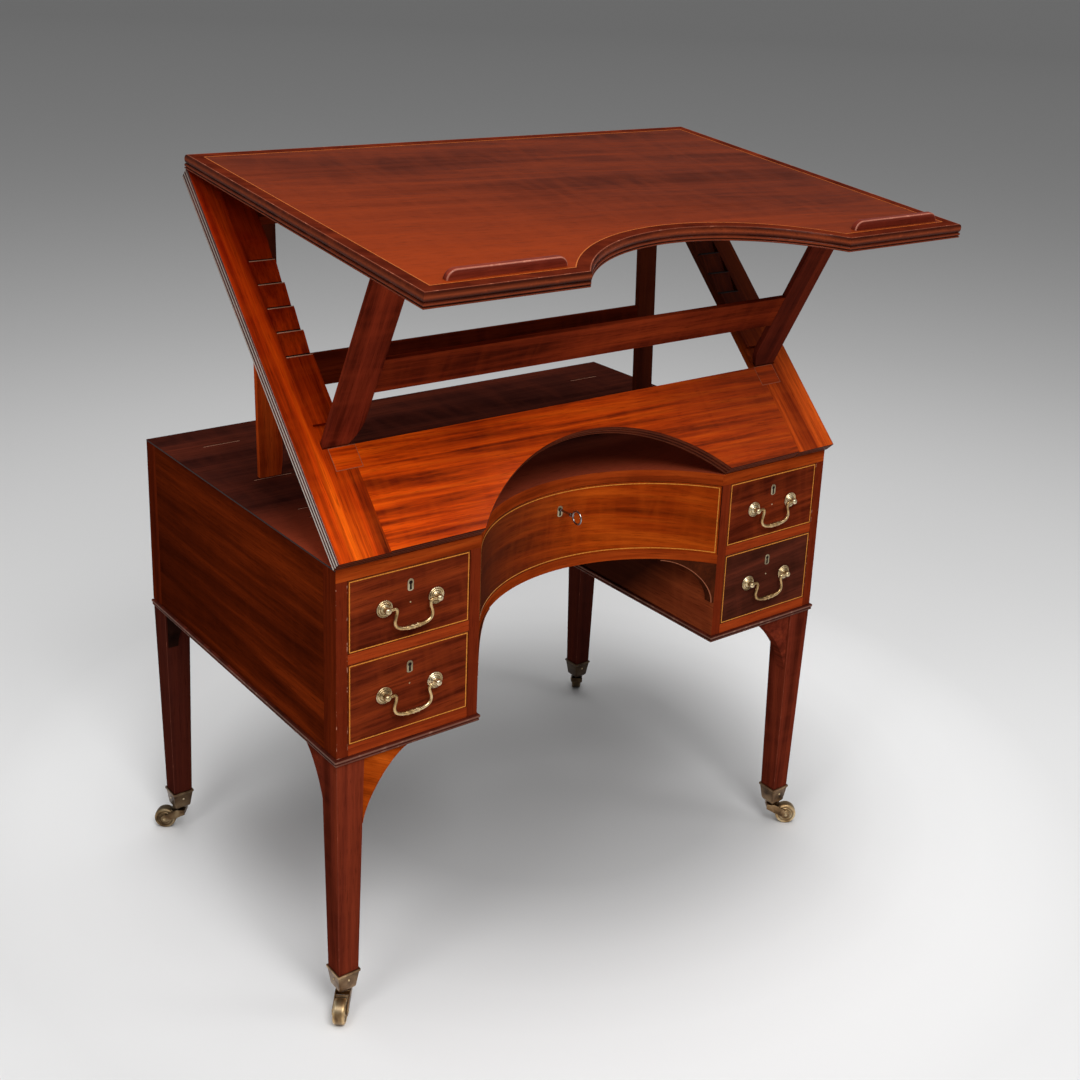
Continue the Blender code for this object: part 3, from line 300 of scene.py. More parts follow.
# Pale worn tones of the edge, reed, stile_reed, band, ledge, base and leg finishes: partly rubbed wear,
# partly painted highlight along crests and arrises
FINISH = {
    "field": wood("drawer_veneer", ((58, 17, 8), (106, 38, 18), (138, 54, 22)), SLANTED, True, (3.5, 40)),
    # Painted shade: a darker copy of the drawer veneer, for the right lower drawer
    "dim": wood("dim_drawer_veneer", ((54, 24, 16), (80, 36, 25), (100, 44, 29)), SLANTED, True, (3.5, 40)),
    "bow": wood(
        "bow_veneer", ((92, 28, 5), (150, 52, 9), (184, 76, 16)), COUNTER_SLANTED, True, (3.0, 36),
        # Painted shade: the bow darkens towards its left side, which faces away from the light
        drift=(ACROSS, 0.06, -0.20, 0.85, (66, 33, 23)),
    ),
    "rail": wood("rail_veneer", ((112, 38, 10), (152, 57, 16), (172, 72, 22)), AS_LAID, True, (4, 60), 0.1),
    "post": wood(
        "corner_veneer", ((86, 25, 11), (108, 37, 16), (124, 45, 18)), UP_FACE, worn=((196, 136, 110), 0.0)
    ),
    "strip": wood(
        "side_strip_veneer", ((60, 17, 6), (92, 29, 9), (114, 39, 13)), UP_FACE, True, (1.5, 30), 0.1
    ),
    "divider": wood(
        "divider_veneer", ((111, 37, 14), (151, 56, 21), (172, 69, 27)), AS_LAID, True, (4, 60), 0.1
    ),
    "slope": wood(
        "slope_panel_wood", ((104, 24, 2), (208, 67, 3), (240, 94, 10)), (0, 0, 0.03), True, (3.0, 80),
        # Painted shade: the slope panel darkens towards its right
        0.12, 0.05, (ACROSS, -0.32, 0.36, 0.55, (108, 42, 18)),
    ),
    "board": wood(
        "board_wood", ((68, 24, 12), (86, 33, 18), (106, 41, 19)), (0, 0, 0.10), True, (2.2, 22), 0.3, 0.02,
        # Painted sheen: the board turns a brighter orange towards its front left
        (FRONT_LEFT, 0.06, 0.56, 0.60, (146, 52, 10)),
    ),
    "band": wood(
        "board_band", ((58, 17, 9), (82, 28, 15), (104, 38, 18)), ASKEW, True, (6, 20),
        worn=((190, 124, 98), 0.35),
    ),
    "ledge": wood(
        "ledge_wood", ((76, 23, 13), (108, 36, 22), (132, 50, 31)), AS_LAID, True, (2, 40), 0.2, 0.12,
        worn=((182, 118, 98), 0.6),
    ),
    "edge": wood(
        "leaf_edge", ((48, 16, 8), (78, 28, 14), (104, 42, 20)), AS_LAID, True, (2, 30), 0.2, 0.03,
        worn=((108, 54, 34), 1.0),
    ),
    "reed": wood(
        "reeded_edge", ((38, 11, 5), (64, 21, 10), (92, 35, 16)), AS_LAID, True, (2, 30), 0.2, 0.06,
        worn=((140, 62, 33), 0.75),
    ),
    "stile_reed": wood(
        "stile_reeds", ((50, 15, 8), (78, 27, 15), (104, 40, 21)), AS_LAID, True, (2, 30), 0.2, 0.7,
        # Near-white crests: partly wear and partly painted highlight
        worn=((252, 233, 214), 1.0),
    ),
    "leg": wood(
        "leg_wood", ((70, 24, 14), (108, 41, 26), (128, 51, 30)), UPRIGHT, True, (1.6, 40), 0.2,
        # Painted shade: the legs darken towards the back
        drift=(BACKWARD, 0.0, 0.36, 0.7, (46, 22, 19)), worn=((160, 92, 70), 0.3),
    ),
    "bracket": wood("bracket_wood", ((118, 42, 6), (168, 66, 12), (196, 86, 20)), ASKEW, True, (3, 30)),
    "base": wood(
        "base_wood", ((46, 16, 10), (72, 26, 17), (98, 38, 24)), AS_LAID, True, (2, 30), 0.2, 0.04,
        worn=((164, 122, 102), 0.45),
    ),
    "shade": wood("shaded_bracket_wood", ((22, 11, 8), (34, 17, 12), (46, 23, 16)), AS_LAID, True, (3, 30)),
    "side": wood(
        "case_side_wood", ((60, 17, 4), (90, 29, 7), (120, 42, 11)), (0, 0.16, QUARTER), False, (1.8, 26),
        # Painted shade: the side darkens towards the back
        0.08, drift=(BACKWARD, -0.05, 0.42, 0.5, (44, 12, 4)),
    ),
    "back": wood("back_panel_wood", ((44, 13, 5), (78, 26, 9), (104, 38, 13)), AS_LAID, False),
    "top": wood(
        "case_top_wood", ((40, 16, 13), (63, 28, 21), (87, 37, 25)), AS_LAID, False,
        # Painted light: the case top turns lighter towards the front, where it lies in shade under the leaves
        drift=(BACKWARD, 0.05, -0.12, 0.9, (146, 62, 38)),
    ),
    "inner": wood(
        "inner_wood", ((78, 30, 15), (126, 54, 27), (152, 70, 36)), UP_FACE, False,
        # Painted shadow cast by the soffit: darker upwards and towards the back
        drift=(UP_AND_BACK, 0.285, 0.345, 0.85, (24, 12, 11)),
    ),
    "box": wood("drawer_box_wood", ((104, 52, 24), (140, 78, 40), (164, 98, 56)), UP_FACE, False),
    "spandrel": wood("spandrel_wood", ((38, 17, 10), (66, 29, 15), (88, 38, 18)), (0, 0.7, 0), False),
    "left_stile": wood(
        "left_stile_wood", ((62, 10, 2), (200, 62, 5), (244, 100, 12)), UP_LEAF, False, (0.9, 26),
        # Painted shadow of the board: the stile darkens towards its top
        0.1, 0.04, (UPWARD, 0.82, 1.12, 0.55, (128, 17, 4)),
    ),
    "right_stile": wood(
        "right_stile_wood", ((100, 27, 9), (188, 72, 20), (216, 92, 26)), UP_LEAF, False, (0.9, 26),
        # Painted shadow of the board: the stile darkens towards its top
        0.1, 0.02, (UPWARD, 0.83, 0.95, 0.86, (26, 11, 9)),
    ),
    "prop": wood(
        "rear_prop_wood", ((124, 41, 12), (188, 69, 21), (216, 90, 30)), UPRIGHT, False, (2, 40),
        # Painted shade: the rear prop darkens towards the right and upwards, under the board
        drift=(RIGHT_AND_UP, 0.46, 0.60, 0.82, (64, 34, 26)),
    ),
    "lean": wood(
        "front_prop_wood", ((78, 24, 13), (126, 44, 25), (154, 57, 30)), UP_PROP, False, (2, 40),
        # Painted shade: the front prop darkens towards the right
        drift=(ACROSS, -0.30, 0.40, 0.5, (50, 24, 20)),
    ),
    "stretcher": wood(
        "stretcher_wood", ((70, 21, 10), (116, 39, 18), (142, 52, 22)), AS_LAID, False, (2, 36)
    ),
    "brass": metal("handle_brass", ((124, 96, 62), (220, 196, 152), (246, 232, 202)), 0.29),
    "plate": metal("escutcheon_brass", ((84, 68, 50), (164, 148, 118), (206, 192, 160)), 0.36),
    "bail": metal("bail_brass", ((112, 82, 48), (198, 162, 110), (238, 212, 166)), 0.26),
    "worn": metal("caster_brass", ((62, 44, 32), (150, 118, 84), (214, 186, 144)), 0.32, PAINTED_BACK_SHADE),
    "wheel": metal("wheel_brass", ((84, 60, 42), (206, 172, 124), (250, 230, 190)), 0.40, PAINTED_BACK_SHADE),
    "cup": metal("cup_brass", ((52, 36, 28), (150, 118, 86), (206, 174, 132)), 0.32, PAINTED_BACK_SHADE),
    "steel": metal("key_steel", ((86, 78, 76), (166, 160, 158), (220, 216, 214)), 0.24),
    "line": plain("boxwood_line", (218, 138, 50), 0.35, 0.5, 300),
    "board_line": plain("board_line", (178, 94, 38), 0.35, 0.5, 300),
    "seam": plain("block_seam", (158, 92, 62), 0.4, 0.55, 500),
    "joint": plain("worn_joint", (196, 140, 112), 0.4, 0.55, 500),
    "arris": plain("dark_arris", (40, 26, 25), 0.4, 0.55, 400),
    "dark": plain("painted_shade_hollow", (26, 12, 8), 0.6, 0.8, 400),
}

# Shapes

GRAIN_STEP = np.array([0.73, 0.41, 0.29])
SHARP, TURNED_SHARP, WIRE_SHARP, PLATE_SHARP = 32.0, 40.0, 45.0, 50.0
HOLLOW_RADIUS, HOLLOW_HEIGHT, BEADED_RIM, TWIST = 0.0012, 0.0005, 0.75, 700
made = 0


def quads(index, wrap=False):
    """The four corners of every cell of a grid of point numbers; wrap joins the last column to the first."""
    if wrap:
        index = np.concatenate([index, index[:, :1]], axis=1)
    cells = [index[:-1, :-1], index[:-1, 1:], index[1:, 1:], index[1:, :-1]]
    return np.stack(cells, -1).reshape(-1, 4)


def piece(name, local, faces, put, body, finish, stands_for=(), wear=None, crease=SHARP):
    """A named object from local points: put places them, and the grain attribute keeps them for the finish.

    Each piece's grain is moved on a step from the last one's, so that no two show the same figure.
    """
    global made
    made += 1
    mesh = bpy.data.meshes.new(name)
    mesh.from_pydata(put(local).tolist(), [], faces)
    bm = bmesh.new()
    bm.from_mesh(mesh)
    bmesh.ops.recalc_face_normals(bm, faces=bm.faces)
    bm.to_mesh(mesh)
    bm.free()
    grain = mesh.attributes.new("grain", "FLOAT_VECTOR", "POINT")
    grain.data.foreach_set("vector", (local + GRAIN_STEP * made).astype(np.float32).ravel())
    rubbed = mesh.attributes.new("wear", "FLOAT", "POINT")
    depth = np.zeros(len(local)) if wear is None else wear
    rubbed.data.foreach_set("value", depth.astype(np.float32))
    mesh.shade_smooth()
    mesh.set_sharp_from_angle(angle=math.radians(crease))
    mesh.materials.append(FINISH[finish])
    obj = bpy.data.objects.new(name, mesh)
    scene.collection.objects.link(obj)
    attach(obj, body)
    if stands_for:
        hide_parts(*stands_for)


def flat_put(origin, along, across, out):
    """Local (a, b, w) goes to origin + a along + b across + w out."""
    origin, basis = np.array(origin, float), np.array([along, across, out], float)
    return lambda p: origin + p @ basis


def bow_put(p):
    """Local (a, b, w) on the bowed front: a along its arc, b up, w out towards the user."""
    turn, reach = p[:, 0] / BOW_RADIUS, BOW_RADIUS - p[:, 2]
    return np.column_stack([reach * np.sin(turn), BOW_Y + reach * np.cos(turn), p[:, 1]])


def ring_of(outline, inset, height, rows):
    """The closed loop of an outline drawn in by inset: front, right side, back and left side, at a height."""
    front, back = outline(inset)
    t = np.linspace(0, 1, rows)[1:-1, None]
    right = front[-1] * (1 - t) + back[-1] * t
    left = back[0] * (1 - t) + front[0] * t
    loop = np.concatenate([front, right, back[::-1], left])
    return np.column_stack([loop, np.full(len(loop), height)])


def plank(name, outline, edge, put, body, finish, stands_for=(), rows=3, crease=SHARP, wear=None):
    """A board: its outline drawn in by d at height w for each (d, w) down its edge.

    Both faces are ruled from front to back in rows. wear is given for each (d, w) of the edge.
    """
    rings = [ring_of(outline, d, w, rows) for d, w in edge]
    columns = len(outline(0)[0])
    size, inner = len(rings[0]), rows - 2
    index = np.arange(len(rings) * size).reshape(len(rings), size)
    points, faces = [np.concatenate(rings)], [quads(index, True)]
    total = len(points[0])
    for loop, number in ((rings[0], index[0]), (rings[-1], index[-1])):
        back = slice(columns + inner, 2 * columns + inner)
        grid = np.empty((rows, columns), int)
        grid[0], grid[-1] = number[:columns], number[back][::-1]
        grid[1:-1, -1] = number[columns : columns + inner]
        grid[1:-1, 0] = number[2 * columns + inner :][::-1]
        t = np.linspace(0, 1, rows)[1:-1, None, None]
        field = (loop[:columns] * (1 - t) + loop[back][::-1] * t)[:, 1:-1].reshape(-1, 3)
        grid[1:-1, 1:-1] = total + np.arange(len(field)).reshape(inner, columns - 2)
        points.append(field)
        faces.append(quads(grid))
        total += len(field)
    rubbed = None
    if wear is not None:
        rubbed = np.zeros(total)
        rubbed[: index.size] = np.repeat(wear, size)
    points, faces = np.concatenate(points), np.concatenate(faces).tolist()
    piece(name, points, faces, put, body, finish, stands_for, rubbed, crease)


def lofted(name, rings, put, body, finish, stands_for=(), loop=False, wear=None, crease=SHARP):
    """A skin through closed rings of equal count, with a fan over each end, or joined end to start as a loop.

    wear is given for each ring, or for each point of each ring.
    """
    rings = np.asarray(rings, float)
    count, size = rings.shape[:2]
    index = np.arange(count * size).reshape(count, size)
    points = rings.reshape(-1, 3)
    deep = None
    if wear is not None:
        deep = np.broadcast_to(np.reshape(wear, (count, -1)), (count, size)).ravel()
    if loop:
        faces = quads(np.concatenate([index, index[:1]]), True).tolist()
    else:
        faces = quads(index, True).tolist()
        points = np.concatenate([points, rings[[0, -1]].mean(1)])
        for hub, row in ((count * size, index[0]), (count * size + 1, index[-1])):
            faces += np.column_stack([np.full(size, hub), row, np.roll(row, -1)]).tolist()
        if deep is not None:
            deep = np.concatenate([deep, deep[[0, -1]]])
    piece(name, points, faces, put, body, finish, stands_for, deep, crease)


def hollows(radius, height=None):
    """How deep each point of a profile lies below its neighbours' mean, in radius or height, from 0 to 1."""

    def below(values, full):
        wide = np.convolve(np.pad(values, 3, mode="edge"), np.ones(7) / 7, "valid")
        return np.clip((wide - values) / full, 0, 1)

    deep = below(radius, HOLLOW_RADIUS)
    return deep if height is None else np.maximum(deep, below(np.abs(height), HOLLOW_HEIGHT))


def turned(name, profile, put, body, finish, stands_for=(), steps=40, lobes=0, ripple=0.0):
    """A turned form: (radius, height) points carried round local w.

    The outer part of its radius, past BEADED_RIM, swells by ripple at each of its lobes, like a beaded edge.
    """
    radius, height = np.array(profile, float).T
    angle = np.linspace(0, 2 * math.pi, steps, endpoint=False)
    share = np.clip((radius / radius.max() - BEADED_RIM) / (1 - BEADED_RIM), 0, 1)[:, None]
    swell = radius[:, None] * (1 + ripple * share * np.cos(lobes * angle))
    up = np.repeat(height[:, None], steps, 1)
    rings = np.stack([swell * np.cos(angle), swell * np.sin(angle), up], -1)
    lofted(name, rings, put, body, finish, stands_for, False, hollows(radius, height), TURNED_SHARP)


def squared(name, levels, put, body, finish, stands_for=(), corner=0.0012, wear=None):
    """A square-section form: loops with rounded corners, one for each (half width, height)."""
    quarter = np.linspace(0, QUARTER, 5)
    loops = []
    for half, height in levels:
        soft = min(corner, 0.45 * half)
        arc = np.column_stack([np.cos(quarter), np.sin(quarter)]) * soft + (half - soft)
        flat = np.concatenate([arc, arc[::-1] * (-1, 1), -arc, arc[::-1] * (1, -1)])
        loops.append(np.column_stack([flat, np.full(len(flat), height)]))
    lofted(name, loops, put, body, finish, stands_for, False, wear)


def swept(name, path, radius, put, body, finish, stands_for, loop=False, steps=14, flutes=0, depth=0.0):
    """A round wire of changing radius along a path in the local a, b plane.

    Flutes of a depth, as a share of the radius, wind round it by TWIST radians for each metre of its run.
    """
    ahead = np.gradient(path, axis=0)
    if loop:
        ahead = np.roll(path, -1, 0) - np.roll(path, 1, 0)
    ahead /= np.linalg.norm(ahead, axis=1)[:, None]
    side = np.column_stack([-ahead[:, 1], ahead[:, 0]])
    run = np.cumsum(np.linalg.norm(np.diff(path, axis=0, prepend=path[:1]), axis=1))
    angle = np.linspace(0, 2 * math.pi, steps, endpoint=False)
    twist = 1 + np.asarray(depth)[..., None] * np.cos(flutes * angle[None, :] + TWIST * run[:, None])
    reach = radius[:, None] * twist
    outward = reach * np.cos(angle)
    rings = np.stack(
        [
            path[:, :1] + outward * side[:, :1],
            path[:, 1:] + outward * side[:, 1:],
            reach * np.sin(angle) * np.ones_like(path[:, :1]),
        ],
        -1,
    )
    lofted(name, rings, put, body, finish, stands_for, loop, hollows(radius), WIRE_SHARP)


def rect(a0, a1, b0, b1, columns=3):
    """Outline of a plain rectangle."""

    def outline(d):
        a = np.linspace(a0 + d, a1 - d, columns)
        return np.column_stack([a, np.full(columns, b0 + d)]), np.column_stack([a, np.full(columns, b1 - d)])

    return outline


def span(side, near, far):
    """The ends of a stretch across the desk on its left or right side, in rising order."""
    return sorted((side * near, side * far))


def front_of(node):
    """Outline of a solid's front on the face of the case."""
    low, high = low_of(node), high_of(node)
    return rect(low[0], high[0], low[2], high[2])


def bowed(half, length, cut, sag, sides=1.0, back=1.0):
    """Outline of a leaf with a bow cut from its front edge.

    Insets follow the bow as a wider arc of the same centre, and count by a share along the sides and back.
    """
    radius = (cut * cut + sag * sag) / (2 * sag)
    middle = sag - radius

    def outline(d):
        wide = radius + d
        reach = math.sqrt(wide**2 - (d - middle) ** 2)
        turn = math.asin(reach / wide)
        arc = np.linspace(-turn, turn, BOW_COLUMNS)
        left = np.linspace(-half + sides * d, -reach, 7)[:-1]
        a = np.concatenate([left, wide * np.sin(arc), -left[::-1]])
        b = np.concatenate([np.full(6, d), middle + wide * np.cos(arc), np.full(6, d)])
        return np.column_stack([a, b]), np.column_stack([a, np.full(len(a), length - back * d)])

    return outline


def reeds(thick, count, depth, steps=7):
    """Edge of half-round reeds, from the top face down: each swings out from depth to 0 and back."""
    t = np.linspace(0, math.pi, steps)
    step = thick / count
    return [
        (depth * (1 - math.sin(s)), thick - step * (k + (1 - math.cos(s)) / 2))
        for k in range(count)
        for s in (t if k == 0 else t[1:])
    ]


def crests(insets, depth, fall=8):
    """Wear and painted highlight of a reeded edge: 1 on the crest of each reed, falling off steeply to 0 on
    its flanks.
    """
    return np.clip(1 - fall * np.array(insets) / depth, 0, 1)


def eased(thick, soft):
    """Edge with a small round above and below."""
    t = np.linspace(0, QUARTER, 4)
    above = [(soft * (1 - math.sin(s)), thick - soft * (1 - math.cos(s))) for s in t]
    below = [(soft * (1 - math.cos(s)), soft * (1 - math.sin(s))) for s in t]
    return above + below


def skinned(thick):
    """Edge of a veneer: a hair's ease at the top, then square."""
    return [(SKIN_EASE, thick), (0.0, thick - SKIN_EASE), (0.0, 0.0)]


VENEER, BOW_VENEER = skinned(SKIN), skinned(BOW_SKIN)
RUBBED_VENEER, RUBBED = [(RUBBED_WIDTH, SKIN)] + VENEER, (0, 1, 1, 1)


def veneer(name, outline, put, finish, body="case", edge=VENEER):
    """A thin sheet of wood laid on a face."""
    plank(name, outline, edge, put, body, finish)


def line(name, outline, inset, put, body, height=SKIN, rows=3, width=LINE_WIDTH, finish="line"):
    """Inlaid stringing: a thin flat band between two insets of an outline."""
    rim, top = height - SKIN_EASE, height + LINE_LIFT - SKIN
    corners = ((inset, rim), (inset, top), (inset + width, top), (inset + width, rim))
    rings = [ring_of(outline, d, w, rows) for d, w in corners]
    lofted(name, rings, put, body, finish, (), True)


# Case

FACE = flat_put((0, FRONT_Y, 0), *FACING)
ON_TOP = flat_put((0, 0, TOP_Z), *LEVEL)
FLOOR_RISE, FLOOR_SOFT = 0.0105, 0.0004
GROOVE_CLOSE = 0.0001
BEAD_TURN = np.linspace(0, math.pi, 8)


def bead(start, depth, middle, half):
    """Edge of a half-round bead: it swings out from start + depth to start and back, down past its middle."""
    return [(start + depth * (1 - math.sin(s)), middle + half * math.cos(s)) for s in BEAD_TURN]


# Pedestal base: two beads, the upper one fuller
BASE_EDGE = [(0.0036, 0.0110)] + bead(0, 0.0017, 0.0078, 0.0030)
BASE_EDGE += [(0.0024, 0.0046)] + bead(0.0010, 0.0014, 0.0023, 0.0021)
# Pale bead crests of the base: partly wear and partly painted highlight
bead_crest = crests(1 - np.sin(BEAD_TURN), 1)
BASE_WEAR_AND_HIGHLIGHT = np.concatenate([[0], bead_crest, [0], 0.6 * bead_crest])

for side, word in SIDES:
    post = rect(*span(side, HALF - SIDE_THICK, HALF), SIDE_Z, UNDER_TOP_Z)
    plank(word + "_corner_veneer", post, RUBBED_VENEER, FACE, "case", "post", wear=RUBBED)
    post = rect(*span(side, KNEE_HALF, KNEE_HALF + SIDE_THICK), SIDE_Z, UNDER_TOP_Z)
    veneer(word + "_inner_corner_veneer", post, FACE, "post")
    rail = rect(*span(side, KNEE_HALF, HALF), UNDER_TOP_Z, TOP_Z)
    veneer(word + "_top_rail_veneer", rail, FACE, "rail")
    veneer(word + "_divider_veneer", front_of(word + "_divider"), FACE, "divider")
    low, high = low_of(word + "_divider"), high_of(word + "_divider")
    floor_z = low_of(word + "_lower_drawer")[2]
    veneer(word + "_floor_veneer", rect(low[0], high[0], SIDE_Z, floor_z - GAP), FACE, "divider")

    # The side's veneer runs up over the top's edge, between upright strips at its ends, under a dark arris
    flank = flat_put((side * HALF, 0, 0), BACKWARD, UPWARD, (side, 0, 0))
    strips = (("front", FRONT_Y, FRONT_Y + STRIP_WIDTH), ("back", BACK_Y - STRIP_WIDTH, BACK_Y))
    for end, start, stop in strips:
        veneer(f"{word}_side_{end}_strip", rect(start, stop, SIDE_Z, TOP_Z), flank, "strip")
    band = rect(FRONT_Y + STRIP_WIDTH, BACK_Y - STRIP_WIDTH, UNDER_TOP_Z - BAND_LAP, TOP_Z)
    veneer(word + "_top_edge_veneer", band, flank, "side")
    flank = flat_put((side * (HALF + SKIN / 2), 0, 0), BACKWARD, UPWARD, (side, 0, 0))
    arris = rect(FRONT_Y, BACK_Y, TOP_Z - ARRIS_WIDTH, TOP_Z)
    plank(word + "_top_arris", arris, VENEER, flank, "case", "arris")

    # Base moulding, and the floor board on it
    base = word + "_base"
    foot, head = low_of(base), high_of(base)
    plate = rect(foot[0], head[0], foot[1], head[1])
    put = flat_put((0, 0, foot[2]), *LEVEL)
    plank(base + "_moulding", plate, BASE_EDGE, put, "case", "base", (base,), wear=BASE_WEAR_AND_HIGHLIGHT)
    deck = rect(low[0], high[0], FRONT_Y, high[1])
    deck_edge = eased(floor_z - foot[2] - FLOOR_RISE - GAP, FLOOR_SOFT)
    put = flat_put((0, 0, foot[2] + FLOOR_RISE), *LEVEL)
    plank(word + "_floor_board", deck, deck_edge, put, "case", "rail")

low, high = low_of("kneehole_soffit"), high_of("kneehole_soffit")
for word, bottom, top in (("top", UNDER_TOP_Z, TOP_Z), ("lower", low[2], high[2])):
    rail = rect(-BOW_ARC, BOW_ARC, bottom, top, BOW_COLUMNS)
    veneer(f"bow_{word}_rail_veneer", rail, bow_put, "rail", edge=BOW_VENEER)


def hollow_edge(side, node):
    """Outline of a spandrel's worn edge: a quarter oval along its hollow, and the same curve moved out."""
    low, high = low_of(node), high_of(node)
    wide, drop = high[0] - low[0] - SPANDREL_TIP, high[2] - low[2] - SPANDREL_TIP
    outer, top = max(abs(low[0]), abs(high[0])) - SPANDREL_TIP, high[2] - SPANDREL_TIP
    t = np.linspace(0, QUARTER, 25)

    def curve(move):
        x = outer - wide * (1 - np.sin(t)) + move * np.sin(t)
        z = top - drop * (1 - np.cos(t)) + move * np.cos(t)
        return np.column_stack([side * BOW_RADIUS * np.arcsin(x / BOW_RADIUS), z])

    return lambda d: (curve(d), curve(SPANDREL_WEAR - d))


for side, word in SIDES:
    edge = hollow_edge(side, word + "_spandrel")
    veneer(word + "_spandrel_edge", edge, bow_put, "seam", edge=BOW_VENEER)

# Worn pale edges along the grooves that the rear prop stands at
groove_floor = np.array([v.co for v in NODES["case_top"].data.vertices])
groove_floor = groove_floor[np.abs(groove_floor[:, 2] - (TOP_Z - GROOVE_DEPTH)) < GROOVE_CLOSE]
for side, word in SIDES:
    here = groove_floor[groove_floor[:, 0] * side > 0]
    fronts = sorted({round(y, 4) for y in here[:, 1]})[::2]
    for number, y in enumerate(fronts):
        groove = rect(here[:, 0].min(), here[:, 0].max(), y - GROOVE_WEAR, y)
        veneer(f"{word}_groove_edge_{number}", groove, ON_TOP, "joint")

# Drawers

KEYHOLE_DROP, PIN_DROP = 0.0285, 0.0545
PIN_HEAD = [(0.0013, 0), (0.0012, 0.0003), (0.0003, 0.0005)]
PLATE_HALF, PLATE_FOOT, PLATE_SPRING, PLATE_ROUND = 0.0050, -0.0062, 0.0046, 0.55
PLATE_THICK, PLATE_SOFT = 0.0007, 0.0003
KEYHOLE_FOOT, KEYHOLE_HEAD = -0.0072, 0.0066
KEYHOLE_EDGE, KEYHOLE_LEAST = [(0, 0.00078), (0, 0.0004)], 0.00005
SLOT_HALF, SLOT_FLARE, SLOT_TOP = 0.0014, 0.05, 0.002
EYE_RADIUS, EYE_RISE = 0.0029, 0.0037
ROSE = [
    (0.0128, 0.0), (0.0129, 0.0007), (0.0127, 0.0015), (0.0121, 0.0020), (0.0115, 0.0018), (0.0110, 0.0010),
    (0.0105, 0.0010), (0.0100, 0.0021), (0.0094, 0.0027), (0.0086, 0.0026), (0.0080, 0.0016),
    (0.0074, 0.0016), (0.0068, 0.0027), (0.0060, 0.0034), (0.0053, 0.0037), (0.0047, 0.0040),
    (0.0043, 0.0045), (0.0042, 0.0052), (0.0044, 0.0060), (0.0047, 0.0068), (0.0050, 0.0080),
    (0.0051, 0.0092), (0.0051, 0.0104), (0.0048, 0.0117), (0.0042, 0.0129), (0.0032, 0.0139),
    (0.0018, 0.0144), (0.0005, 0.0145),
]
ROSE_STEPS, ROSE_LOBES, ROSE_RIPPLE = 72, 24, 0.022

# One half of a bail, from its post: shares of the hook inwards and of the drop, and of the wire's radius
BAIL = [
    (0.0, 0.0, 1.0), (0.40, -0.018, 1.0), (0.75, -0.006, 1.0), (0.94, 0.05, 1.0), (1.0, 0.14, 1.0),
    (0.94, 0.27, 1.0), (0.78, 0.42, 1.0), (0.66, 0.57, 1.0), (0.71, 0.71, 1.05), (0.98, 0.84, 1.1),
    (1.50, 0.93, 1.15), (2.10, 0.98, 1.2), (2.60, 1.0, 1.25), (2.80, 1.0, 1.45), (3.835, 1.0, 1.5),
]
BAIL_HOOK, BAIL_DROP, BAIL_END, BAIL_RADIUS = 0.0097, 0.033, 0.0372, 0.0024
GRIP_HALF, GRIP_LEVEL, GRIP_PITCH, GRIP_SWELL, GRIP_FLUTE = 0.0105, -0.03, 0.0026, 0.10, 0.12

# The key's shank with its collars, and the ring of its bow
SHANK = [
    (0.0019, -0.012), (0.0019, 0.0030), (0.0027, 0.0034), (0.0030, 0.0042), (0.0027, 0.0050),
    (0.0019, 0.0054), (0.0018, 0.0250), (0.0021, 0.0265), (0.0030, 0.0272), (0.0032, 0.0282),
    (0.0028, 0.0292), (0.0021, 0.0302), (0.0024, 0.0322), (0.0022, 0.0340),
]
RING_CENTRE, RING_RADIUS, RING_WIRE, RING_STEPS = 0.0437, 0.0105, 0.0015, 64


def smooth_path(points, count):
    """Points spread along a curve that runs through the given ones, each coordinate a cubic between knots."""
    points = np.array(points, float)
    slope = np.gradient(points, axis=0)
    t = np.linspace(0, len(points) - 1, count)
    k = np.minimum(t.astype(int), len(points) - 2)
    s = (t - k)[:, None]
    first, second = points[k], points[k + 1]
    rise, fall = slope[k], slope[k + 1]
    return (
        first * (2 * s**3 - 3 * s**2 + 1)
        + rise * (s**3 - 2 * s**2 + s)
        + second * (3 * s**2 - 2 * s**3)
        + fall * (s**3 - s**2)
    )


def arch(d):
    """Outline of an escutcheon: a rounded foot and upright sides under a half-round head."""
    a = np.linspace(-1, 1, 25) * (PLATE_HALF - d)
    bow = np.sqrt(np.maximum((PLATE_HALF - d) ** 2 - a**2, 0))
    return np.column_stack([a, PLATE_FOOT - PLATE_ROUND * bow]), np.column_stack([a, PLATE_SPRING + bow])


def keyhole(d):
    """Outline of a keyhole, up its length: a slot that widens downwards under a round eye."""
    s = np.linspace(KEYHOLE_FOOT, KEYHOLE_HEAD, 33)
    slot = SLOT_HALF + SLOT_FLARE * np.clip(SLOT_TOP - s, 0, 1)
    eye = np.sqrt(np.maximum(EYE_RADIUS**2 - (s - EYE_RISE) ** 2, 0))
    half = np.maximum(np.where(s < EYE_RISE, np.maximum(slot, eye), eye) - d, KEYHOLE_LEAST)
    return np.column_stack([s, -half]), np.column_stack([s, half])


def escutcheon(word, body, origin):
    """An inlaid brass keyhole plate with its keyhole, a dark sheet of painted shade."""
    put = flat_put(origin, *FACING)
    edge = eased(PLATE_THICK, PLATE_SOFT)
    plank(word + "_escutcheon", arch, edge, put, body, "plate", crease=PLATE_SHARP)
    put = flat_put(origin, UPWARD, ACROSS, FORWARD)
    plank(word + "_keyhole", keyhole, KEYHOLE_EDGE, put, body, "dark")


